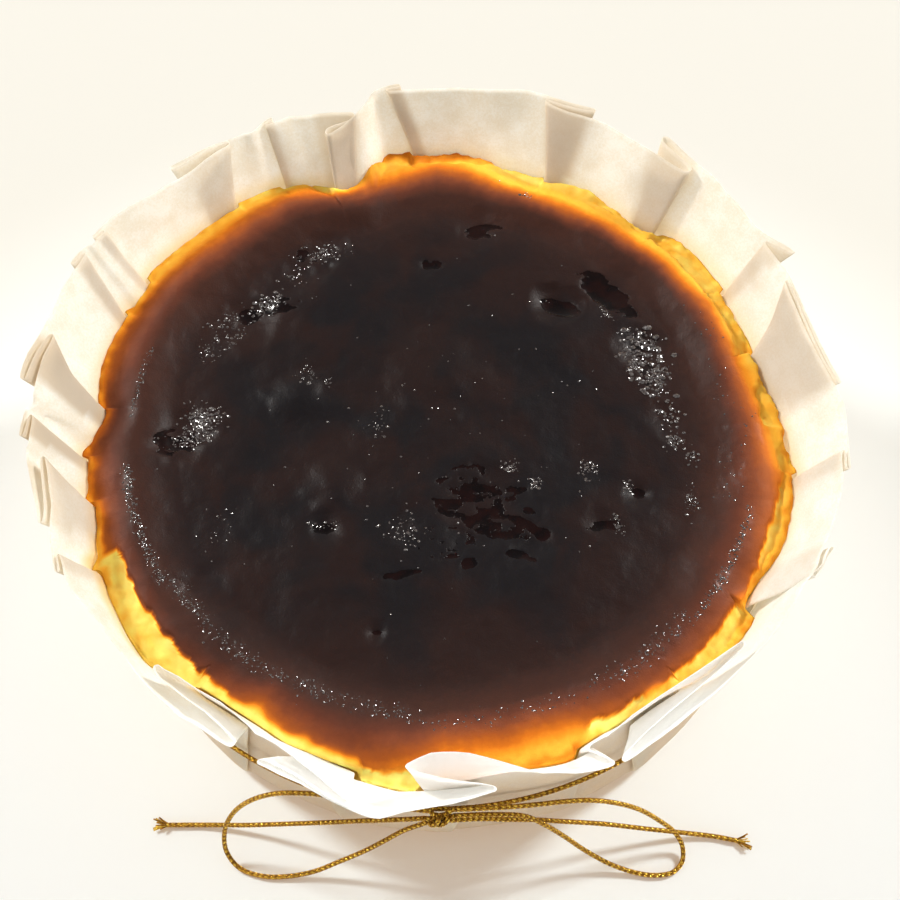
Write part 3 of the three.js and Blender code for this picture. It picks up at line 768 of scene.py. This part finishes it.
# Wet, smooth patches where the burnt syrup pooled: x, y, half length, half width, turn in degrees,
# and how solid each is (a low value leaves islands of it).
WET = [
    (8.5, -15.5, 9.5, 6.5, -12, 0.12), (12.5, -20.5, 8.5, 4.2, -20, 0.10), (1, -26, 5.5, 3.6, 0, 0.06),
    (16.8, -21.4, 4.2, 1.1, -30, 1.3), (20.7, -24.1, 1.7, 1.5, 0, 1.8), (15.4, -28.4, 3.4, 1.1, -12, 1.5),
    (18.4, -29.8, 1.3, 0.6, -10, 1.2), (-8, -32.6, 3.8, 1, 10, 0.8), (5.6, -30.2, 2.1, 1.5, 25, 1.2),
    (33, -22.3, 4.4, 1.5, -3, 0.6), (-24, -22.3, 2.6, 1.1, 0, 0.7), (36.6, 35.2, 9.6, 3.2, -46, 1),
    (-29.8, 45, 3.6, 1.7, -12, 0.6), (-34.3, 31.8, 4.2, 1.9, 10, 0.5), (-41.4, 29.6, 2.5, 2.2, 0, 0.9),
    (-55, -1.8, 5.2, 3.1, 10, 0.5), (9.6, 51.2, 4.8, 2, 8, 0.4), (-2.2, 42.4, 2.9, 1.5, 5, 0.35),
    (26.6, 31.2, 5, 2.2, -25, 1.8), (40.9, -14.9, 1.7, 1.3, 0, 1.3), (-12.9, -45.1, 1.2, 0.7, 0, 1.1),
    (44, 16, 3, 5, 10, 0.3),
]
# Clusters of small burst bubbles: x, y, half length, half width, turn in degrees, how many, how
# large. The last row scatters a few over the whole crust.
BUBBLES = [
    (44.2, 20.5, 4.6, 6, 10, 120, 2.1), (46.6, 12, 3.2, 5.5, 10, 80, 1.8),
    (42, 15, 1.8, 4.2, 15, 40, 1.8), (48.2, 4, 3.2, 4.4, 0, 38, 1.4), (49.4, -3, 2.6, 3.2, 0, 38, 1.4),
    (52.6, -7, 1.6, 2.6, 0, 19, 1.3), (51.6, -17, 1.8, 3, 0, 38, 1), (36.5, 29, 2.2, 1.2, -40, 26, 1),
    (-26, 45.8, 5.6, 2.4, 24, 83, 1.2), (-31.8, 40.4, 3.6, 3, 30, 38, 1),
    (-38, 32.4, 3.8, 2.2, 22, 109, 1.3), (-45.5, 26.5, 5, 4.6, 30, 80, 1),
    (-49.5, 20.5, 2.6, 3, 0, 32, 1), (-50.4, 2.8, 3.8, 3.9, 0, 205, 1.3),
    (-53.6, -1.6, 4.2, 2.4, 10, 70, 1), (-28, 13.8, 2.2, 3, 0, 29, 1), (-23.8, 12.4, 1.2, 1.4, 0, 13, 1),
    (-7, -23.4, 3.4, 4.4, -30, 64, 1), (14.8, -9, 2.4, 1.8, 0, 32, 1),
    (19.4, -12.4, 1.9, 1.4, -20, 38, 1), (30.8, -9.6, 2.6, 2.6, 0, 38, 1),
    (38.8, -13.2, 1.2, 1.6, 0, 19, 1), (36.2, -22.2, 1.2, 2.6, 0, 29, 1),
    (-24, -21.6, 3.4, 1.2, 0, 22, 1), (-46, -22, 4.5, 6, 0, 24, 0.8), (-13, 1, 3, 5, 0, 26, 1),
    (20.5, 59.9, 1.4, 0.9, 0, 13, 1), (0, 0, 50, 50, 0, 130, 0.8),
]
BUBBLE_SIZES = (0.12, 0.16, 0.2, 0.26, 0.34)
BUBBLE_ROWS = [(1.0, -0.3), (0.95, 0.1), (0.55, 0.42)]   # how far out and how high, of a bubble's size
# Bubbles along the shoulder: first and last angle, radius, width, how many.
RIM_BUBBLES = [
    (162, 177, 64.8, 0.9, 90), (187, 212, 65.4, 1.3, 330), (212, 242, 63.4, 2, 270),
    (242, 264, 62.6, 2.2, 150), (264, 300, 64.2, 2.6, 102), (300, 319, 64.8, 2.4, 132),
    (319, 343, 66.2, 1.1, 222), (343, 392, 62, 4, 66),
]
# Torn stretches: first and last angle, depth, radius where the skin ends, how brown they are.
TEARS = [
    (203, 233, 1.5, 70.6, 0.15), (255, 272, 1, 73.8, 0.08), (294, 303, 1.6, 70, 0.09),
    (303, 359, 1.1, 71, 0.20), (0, 58, 1.2, 67.4, 0.21), (78, 96, 0.9, 70, 0.27),
]
# Where the crust turns dark brown, deep orange and yellow: angle and three radii.
BROWNING = [
    (0, 59.5, 65.5, 68.5), (15, 59.5, 64, 66.5), (30, 61, 64.5, 67), (45, 60, 63, 66),
    (60, 59, 62.5, 65.5), (75, 59, 62.5, 65.5), (90, 60.5, 66.5, 71.5), (105, 58.5, 63, 66.5),
    (120, 62, 68, 71.5), (135, 62, 67.5, 71.5), (150, 64, 71, 74.5), (165, 64, 72, 76),
    (180, 65, 73.5, 77.5), (195, 65.5, 71, 74.5), (210, 67.5, 74, 78), (225, 68, 75, 79),
    (240, 64, 69.3, 72), (255, 64.5, 74, 78), (270, 62, 68.5, 73), (285, 61.5, 67.5, 72),
    (300, 62.5, 70.3, 73), (315, 63, 72, 76), (330, 61, 71.5, 76), (345, 60, 70.8, 76),
]
# How high the torn collar stands on the paper, and how brown it is, by angle.
COLLAR = [
    (0, 1.2, 0.27), (20, 1.1, 0.22), (45, 1.1, 0.21), (60, 0.9, 0.19), (76, 0.7, 0.14), (86, 1.8, 0.42),
    (97, 1.3, 0.36), (112, 0.5, 0.16), (130, 0.7, 0.24), (150, 0.6, 0.26), (180, 0.6, 0.40),
    (200, 0.2, 0.26), (230, 0, 0.1), (250, 0.3, 0.12), (262, 0.2, 0.14), (272, 0, 0.3), (290, 0.1, 0.34),
    (297, 0.3, 0.12), (305, 0.8, 0.24), (330, 1.4, 0.30), (346, 1.3, 0.30),
]
CAKE_COLUMNS = 816
CAKE_BASE_Z = 0.35
SIDE_HEIGHTS = (CAKE_BASE_Z, 1.2, 3, 5, 10, 16, 22, 28, 34, 39, 42, 44)
PAPER_GAP = 0.06              # between the crust's edge and the paper
SIDE_GAP = 0.4                # how much further in the hidden side stays
BASE_GAP = 1.0                # and its lowest row
STEADY_RADIUS = 50            # inside this the crust is round whatever the paper does
CLIMB_FLARE = 0.15            # the share of the paper's flare that the crust's climb is measured at
FLARE_HEIGHT = 14             # about how high the rim is over the cake's edge
FAR_INSIDE = 9.0              # an inset that is out of the collar's reach
BUBBLE_REACH = 67.5           # no bubble stands further out
BUBBLE_CLEARANCE = 4          # or nearer the paper
BUBBLE_SIDES = 6
RIM_BUBBLE_SCALE = 0.75
FULLY_ROUGH = 64              # this many bubbles in a cluster make the crust under it fully rough
WET_DEPTH = 0.16


def nominal_radius(radius, angle):
    """The radius a point would have in a round case, as the crust's shoulder follows the dents."""
    lean = sum(by_angle(angle + turn, LEAN, 1) for turn in (-2.4, -1.2, 0, 1.2, 2.4)) / 5
    room = CAKE_RADIUS - lean - STEADY_RADIUS
    return radius + lean * np.clip((radius - STEADY_RADIUS) / room, 0, 1)


def wave_round(angle):
    """A smooth uneven wave round the cake, between about -1 and 1; angle in degrees."""
    turn = np.radians(angle)
    return 0.5 * np.sin(3 * turn + 0.7) + 0.3 * np.sin(7 * turn + 2.1) + 0.2 * np.sin(13 * turn + 4)


def in_ellipse(x, y, spot):
    """Squared distance from a spot's middle, 1 at its edge."""
    cx, cy, half_x, half_y, turn = spot[:5]
    c, s = math.cos(math.radians(turn)), math.sin(math.radians(turn))
    along, across = (x - cx) * c + (y - cy) * s, (y - cy) * c - (x - cx) * s
    return (along / half_x) ** 2 + (across / half_y) ** 2


def torn_here(angle):
    """Depth of the tear at an angle, the radius where the skin ends there, and how brown it is."""
    depth = np.zeros_like(angle)
    radius = np.full_like(angle, 70.0)
    brown = np.full_like(angle, 0.15)
    for start, end, deep, ends, tint in TEARS:
        inside = smoothstep(angle, start - 2.5, start + 2.5) * (1 - smoothstep(angle, end - 2.5, end + 2.5))
        deeper = deep * inside > depth
        depth = np.maximum(depth, deep * inside)
        radius = np.where(deeper, ends, radius)
        brown = np.where(deeper, tint, brown)
    return depth, radius, brown


def wet_patches(x, y, plan):
    """Above 0 where the crust is wet and smooth, with ragged edges."""
    streaky = plan * (0.55, 1.0, 1.0)
    ragged = 0.55 * lattice_noise(streaky, 1.7, 51) + 0.45 * lattice_noise(streaky, 0.8, 52)
    wet = np.full_like(x, -1.0)
    for spot in WET:
        away = in_ellipse(x, y, spot)
        near = away < 2
        pooled = spot[5] * (1 - away[near]) + ragged[near] - 0.1 - 2 * smoothstep(away[near], 1.1, 1.9)
        wet[near] = np.maximum(wet[near], pooled)
    return wet


def crust_surface(x, y, inset):
    """Height above the cake's edge, how burnt, how wet and how rough, at plan points.

    inset is how far each point lies inside the paper.
    """
    radius = np.hypot(x, y)
    angle = np.degrees(np.arctan2(y, x)) % 360
    plan = np.stack([x, y, np.zeros_like(x)], axis=1)
    wave = wave_round(angle)
    nominal = nominal_radius(radius, angle)
    crest = SHOULDER_RADIUS + 1.2 * wave
    rise = SHOULDER_RISE + 0.5 * wave_round(angle + 130)
    inside = smoothstep(nominal, crest - 11, crest)
    outside = np.clip((nominal - crest) / (CAKE_RADIUS - crest), 0, 1)
    height = np.where(nominal < crest, mix(SUNK_TOP, rise, inside), rise * (1 - outside ** 2))
    height += 0.35 * np.sin(x / 9 + 1.3) * np.cos(y / 11) * (1 - inside)
    height += 0.20 * lattice_noise(plan, 7, 11) + 0.09 * lattice_noise(plan, 3, 14)
    height += 0.035 * lattice_noise(plan, 1.3, 12)
    for cx, cy, size, depth in DIPS:
        away = np.hypot(x - cx, y - cy) / size * (1 + 0.25 * lattice_noise(plan, 3.5, 13))
        height -= depth * np.maximum(0, 1 - away ** 2) ** 2

    dark, orange, yellow = (by_angle(angle, BROWNING, k) for k in (1, 2, 3))
    blur = 0.6 * lattice_noise(plan, 6, 21) + 0.3 * lattice_noise(plan, 1.6, 22)
    r = radius + blur
    burnt = 1 - 0.06 * smoothstep(r, dark - 26, dark - 12) - 0.13 * np.clip((r - dark + 12) / 12, 0, 1)
    burnt -= 0.33 * np.clip((r - dark) / (orange - dark), 0, 1)
    burnt -= 0.22 * np.clip((r - orange) / (yellow - orange), 0, 1)
    burnt -= 0.04 * np.clip((r - yellow) / 2.5, 0, 1)

    depth, ends, brown = torn_here(angle)
    ragged = ends + 0.55 * lattice_noise(plan, 2.3, 31) + 0.3 * lattice_noise(plan, 0.9, 32)
    torn = (radius > ragged) & (depth > 0.25)
    step = depth * smoothstep(radius, ragged - 0.25, ragged + 0.35)
    crumb = 0.22 * lattice_noise(plan, 0.9, 33) + 0.18 * lattice_noise(plan, 2.1, 34)
    height += -step + np.where(torn, crumb, 0)
    bare = smoothstep(radius, ragged - 0.1, ragged + 0.5) * smoothstep(depth, 0.2, 0.5)
    pale = brown + 0.05 * lattice_noise(plan, 1.8, 35)
    burnt = mix(burnt, pale, bare)

    stands = by_angle(angle, COLLAR, 1) * (0.85 + 0.3 * lattice_noise(plan, 4.2, 41))
    stands += 0.1 * lattice_noise(plan, 1.0, 42)
    collar = smoothstep(2.6 - inset, 0.7 * lattice_noise(plan, 2.4, 43), 1.8)
    height += np.maximum(stands, 0) * collar
    burnt = mix(burnt, by_angle(angle, COLLAR, 2) + 0.06 * lattice_noise(plan, 1.5, 44), 0.9 * collar)

    wet = wet_patches(x, y, plan)
    height -= WET_DEPTH * smoothstep(wet, 0.0, 0.14)
    rough = np.zeros_like(x)
    for spot in BUBBLES[:-1]:
        cluster = smoothstep(1.4 - in_ellipse(x, y, spot), 0, 1.2) * min(1, spot[5] / FULLY_ROUGH)
        rough = np.maximum(rough, cluster)
    for start, end, middle, width, _ in RIM_BUBBLES:
        inside = smoothstep(angle, start - 4, start + 2) * (1 - smoothstep(angle, end - 2, end + 4))
        near = 1 - smoothstep(np.abs(radius - middle), 0.4 * width, 1.6 * width)
        rough = np.maximum(rough, inside * near)
    rough *= 0.5 + 0.5 * lattice_noise(plan, 2.5, 61)
    height += 0.16 * rough * lattice_noise(plan, 0.8, 62)
    return height, np.clip(burnt, 0, 1), wet, np.clip(rough, 0, 1)


def halved_faces(outer, inner, count):
    """Triangles between a row of count points and the next, which has half as many."""
    faces = []
    for i in range(count // 2):
        j = (i + 1) % (count // 2)
        left, middle, right = outer + 2 * i, outer + 2 * i + 1, outer + (2 * i + 2) % count
        faces += [(left, middle, inner + i), (middle, inner + j, inner + i), (middle, right, inner + j)]
    return faces


def crust_rows():
    """Radius and number of points of each row of the crust, from its edge inward."""
    bands = [
        (CAKE_RADIUS, 44, 74, CAKE_COLUMNS), (43.6, 22, 44, 408), (21.5, 10, 20, 204), (9.4, 5, 8, 102),
        (4.4, 1, 6, 51),
    ]
    return [(radius, count) for start, end, rows, count in bands
            for radius in np.linspace(start, end, rows)]


def narrowed(reach):
    """The least of each column's reach and its two neighbours'."""
    return np.minimum(reach, np.minimum(np.roll(reach, 1), np.roll(reach, -1)))


def make_cake(finish, bubble_finish):
    angles = np.arange(CAKE_COLUMNS) * 360 / CAKE_COLUMNS
    spokes = unit_circle(CAKE_COLUMNS)
    gap = SHEET / 2 + PAPER_GAP
    points, faces = [], []
    values = {"burnt": [], "wet": [], "rough": []}
    starts = []
    total = 0
    for z in SIDE_HEIGHTS:
        reach = narrowed(innermost(z, 0, angles) - gap - (BASE_GAP if z == CAKE_BASE_Z else SIDE_GAP))
        points.append(np.column_stack([spokes * reach[:, None], np.full(CAKE_COLUMNS, z)]))
        for name, value in (("burnt", 0.2), ("wet", -1), ("rough", 0)):
            values[name].append(np.full(CAKE_COLUMNS, value))
        starts.append((total, CAKE_COLUMNS))
        total += CAKE_COLUMNS
    edge = narrowed(innermost(CAKE_EDGE_Z, 0, angles) - gap)
    higher = np.clip(innermost(CAKE_EDGE_Z, CLIMB_FLARE, angles) - gap - edge, 0.2, 2.2)
    higher = sum(np.roll(higher, shift) for shift in range(-5, 6)) / 11
    for radius, count in crust_rows():
        circle = unit_circle(count)
        reach = np.full(count, radius)
        inset = np.full(count, FAR_INSIDE)
        if radius > STEADY_RADIUS:
            room = edge - STEADY_RADIUS
            reach = STEADY_RADIUS + (radius - STEADY_RADIUS) * room / (CAKE_RADIUS - STEADY_RADIUS)
            inset = edge - reach
        height, *looks = crust_surface(*(circle * reach[:, None]).T, inset)
        if radius > STEADY_RADIUS:
            climb = higher / (CLIMB_FLARE * FLARE_HEIGHT) * smoothstep(3.5 - inset, 0, 3.5)
            reach = reach + climb * np.maximum(height, 0)
        points.append(np.column_stack([circle * reach[:, None], CAKE_EDGE_Z + height]))
        for name, value in zip(values, looks):
            values[name].append(value)
        starts.append((total, count))
        total += count
    for (low, count), (up, fewer) in zip(starts, starts[1:]):
        faces += band(low, up, count) if fewer == count else halved_faces(low, up, count)
    last, count = starts[-1]
    points.append(np.array([[0, 0, CAKE_BASE_Z], [0, 0, points[-1][:, 2].mean()]]))
    faces += [(total, (i + 1) % CAKE_COLUMNS, i) for i in range(CAKE_COLUMNS)]
    faces += [(total + 1, last + i, last + (i + 1) % count) for i in range(count)]
    cake = add_piece("burnt_cake", np.vstack(points), faces, [finish])
    for name, value in values.items():
        point_values(cake, name, np.r_[np.concatenate(value), value[0][0], value[-1][0]])
    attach(cake, "root")
    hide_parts("cheesecake")
    make_bubbles(bubble_finish)


def unit_circle(count):
    turn = np.arange(count) * 2 * math.pi / count
    return np.stack([np.cos(turn), np.sin(turn)], axis=1)


def bubble_places(draw):
    """Plan points of the bubbles that stand on the crust, and how large each is."""
    places, scales = [], []
    for spot in BUBBLES:
        turn = math.radians(spot[4])
        for _ in range(spot[5]):
            along, across = spot[2] * draw.gauss(0, 0.5), spot[3] * draw.gauss(0, 0.5)
            places.append((spot[0] + along * math.cos(turn) - across * math.sin(turn),
                           spot[1] + along * math.sin(turn) + across * math.cos(turn)))
            scales.append(spot[6])
    for start, end, radius, width, count in RIM_BUBBLES:
        for _ in range(count):
            turn = math.radians(draw.uniform(start, end))
            away = draw.gauss(radius, width * 0.45)
            places.append((away * math.cos(turn), away * math.sin(turn)))
            scales.append(RIM_BUBBLE_SCALE)
    spots = np.array(places)
    angle = np.degrees(np.arctan2(spots[:, 1], spots[:, 0]))
    paper = CAKE_RADIUS - by_angle(angle, LEAN, 1)
    on_crust = np.hypot(spots[:, 0], spots[:, 1]) < np.minimum(BUBBLE_REACH, paper - BUBBLE_CLEARANCE)
    return spots[on_crust], np.array(scales)[on_crust]


def make_bubbles(finish):
    """Small set bubbles and crystals of burnt syrup on the crust, each an uneven glossy grain."""
    draw = random.Random(SEED)
    spots, scales = bubble_places(draw)
    height = crust_surface(spots[:, 0], spots[:, 1], np.full(len(spots), FAR_INSIDE))[0] + CAKE_EDGE_Z
    sides = BUBBLE_SIDES
    points, faces = [], []
    for (x, y), z, scale in zip(spots, height, scales):
        start = len(points)
        size = draw.choice(BUBBLE_SIZES) * scale
        shift = draw.uniform(0, math.pi)
        stretch = draw.uniform(0.7, 1.4)
        for reach, up in BUBBLE_ROWS:
            for side in range(sides):
                turn = shift + 2 * math.pi * side / sides
                away = size * reach * draw.uniform(0.75, 1.15)
                points.append((x + away * math.cos(turn) * stretch, y + away * math.sin(turn),
                               z + size * up * draw.uniform(0.6, 1.3)))
        points.append((x, y, z + size * 0.55))
        top = start + sides * (len(BUBBLE_ROWS) - 1)
        for low in range(start, top, sides):
            faces += band(low, low + sides, sides)
        faces += [(top + side, top + (side + 1) % sides, top + sides) for side in range(sides)]
        faces.append(tuple(start + side for side in reversed(range(sides))))
    bubbles = add_piece("crust_bubbles", points, faces, [finish], smooth=False)
    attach(bubbles, "root")


def crust_finish():
    """Brown to black skin: satin and cloudy, darker and shiny where wet, pale crumb where torn."""
    finish = Finish("burnt_crust")
    fine = finish.noise(1.1, detail=4, roughness=0.6)
    grain = finish.noise(0.33)
    broad = finish.noise(9, detail=3)
    cloud = finish.noise(15, warp=0.6)
    wet = (finish.attribute("wet") + 0.5 * (finish.noise(0.7) - 0.5)).smooth(0.02, 0.1)
    rough = finish.attribute("rough")
    burnt = finish.attribute("burnt") + 0.05 * (fine - 0.5) + 0.05 * (broad - 0.5)
    color = finish.ramp(burnt.clamped(), [
        (0.05, (1.0, 0.96, 0.25)), (0.15, (0.99, 0.74, 0.14)), (0.24, (0.97, 0.49, 0.045)),
        (0.32, (0.86, 0.30, 0.014)), (0.40, (0.58, 0.145, 0.005)), (0.48, (0.34, 0.078, 0.008)),
        (0.58, (0.185, 0.045, 0.014)), (0.68, (0.095, 0.024, 0.0105)), (0.79, (0.048, 0.0150, 0.0085)),
        (0.88, (0.023, 0.0090, 0.0065)), (1.0, (0.0072, 0.0036, 0.0036)),
    ])
    black = burnt.smooth(0.8, 0.97)
    clouded = finish.mix(cloud.smooth(0.36, 0.64), (0.0040, 0.0042, 0.0056), (0.0150, 0.0055, 0.0042))
    color = finish.mix(0.55 * black, color, clouded)
    uneven = finish.noise(3.5).smooth(0.4, 0.6)
    pool = finish.mix(uneven, (0.0030, 0.0017, 0.0018), (0.0085, 0.0026, 0.0022))
    color = finish.mix(0.85 * wet * burnt.smooth(0.62, 0.92), color, pool)
    skin = burnt.smooth(0.3, 0.6)
    matte = 0.62 - 0.06 * skin - 0.14 * burnt.smooth(0.7, 0.92) + 0.12 * (fine - 0.5)
    matte = matte - 0.32 * wet * skin - 0.10 * rough
    relief = 0.45 * fine + (0.2 + 0.5 * rough) * grain + 0.2 * finish.noise(2.6)
    dry = 1 - 0.9 * wet
    return finish.show_surface({
        "Base Color": color, "Roughness": matte.clamped(), "Normal": finish.bump(relief * dry, 0.15),
        "Specular IOR Level": 0.14,
        "Subsurface Weight": 0.12, "Subsurface Radius": (3.0, 1.2, 0.4), "Subsurface Scale": MM,
        "Coat Weight": (0.14 * rough).clamped(), "Coat Roughness": 0.3, "Coat IOR": 1.8})


def bubble_finish():
    finish = Finish("burnt_bubbles")
    patch = finish.noise(3)
    color = finish.mix(patch, (0.008, 0.004, 0.004), (0.03, 0.011, 0.007))
    return finish.show_surface({"Base Color": color, "Roughness": 0.12 + 0.16 * patch, "IOR": 2.3})


# ---- floor and light ----
LAMP_TURN_DEG = 58            # each lamp stands this far round from straight behind
LAMP_RISE_DEG = 38
LAMP_DISTANCE = 3.0           # metres
LAMP_DISK = 0.5               # metres across
LAMP_WATTS = 76
GLOW_CENTRE = (-4, -70, 0)    # the floor is brightest round here
GLOW_REACH = (95, 200)        # it fades between these distances
FLOOR_HALF = 3000.0
FLOOR_Z = -0.02


def floor_finish():
    """Pale cream with painted light: it glows by its own emission and is brighter round the front of the
    cake.
    """
    finish = Finish("pale_floor_painted_glow")
    away = finish.node("ShaderNodeVectorMath", {"operation": "DISTANCE"},
                       {0: finish.place(), 1: GLOW_CENTRE}, output="Value")
    # painted light: the floor glows by its own emission, and a painted pool of light with a paler base
    # brightens it round the front
    near = 1 - away.smooth(*GLOW_REACH)
    return finish.show_surface({
        "Base Color": finish.mix(near, (0.43, 0.42, 0.385), (0.72, 0.85, 0.90)),
        "Roughness": 0.9, "Specular IOR Level": 0.1, "Emission Strength": 1.0,
        "Emission Color": finish.mix(near, (0.27, 0.26, 0.235), (0.20, 0.07, 0.0))})


def make_stage():
    """A pale floor with a painted glow, two lamps behind the cake and a surround brightest near the
    horizon.
    """
    corners = [(x * FLOOR_HALF, y * FLOOR_HALF, FLOOR_Z) for x, y in ((-1, -1), (1, -1), (1, 1), (-1, 1))]
    add_piece("floor", corners, [(0, 1, 2, 3)], [floor_finish()])
    for name, side in (("lamp_left", -1), ("lamp_right", 1)):
        turn, rise = math.radians(LAMP_TURN_DEG), math.radians(LAMP_RISE_DEG)
        level = math.cos(rise)
        way = Vector((side * math.sin(turn) * level, math.cos(turn) * level, math.sin(rise)))
        lamp = bpy.data.lights.new(name, "AREA")
        lamp.shape = "DISK"
        lamp.size = LAMP_DISK
        lamp.energy = LAMP_WATTS
        lamp.color = (1.0, 0.98, 0.95)
        holder = bpy.data.objects.new(name, lamp)
        holder.location = way * LAMP_DISTANCE
        holder.rotation_euler = (-way).to_track_quat("-Z", "Y").to_euler()
        bpy.context.scene.collection.objects.link(holder)
    make_surround()
    bpy.context.scene.view_settings.view_transform = "Standard"


def make_surround():
    world = bpy.data.worlds.new("surround")
    world.use_nodes = True
    nodes, links = world.node_tree.nodes, world.node_tree.links
    place = nodes.new("ShaderNodeTexCoord")
    split = nodes.new("ShaderNodeSeparateXYZ")
    ramp = nodes.new("ShaderNodeValToRGB")
    low, high = ramp.color_ramp.elements
    low.color, low.position = (1.0, 0.965, 0.89, 1), 0.15
    high.color, high.position = (0.30, 0.30, 0.31, 1), 0.9
    links.new(place.outputs["Generated"], split.inputs[0])
    links.new(split.outputs["Z"], ramp.inputs[0])
    links.new(ramp.outputs[0], nodes["Background"].inputs["Color"])
    bpy.context.scene.world = world


make_camera()
make_cords(gold_finishes())
make_paper_case(paper_finish())
make_cake(crust_finish(), bubble_finish())
make_stage()
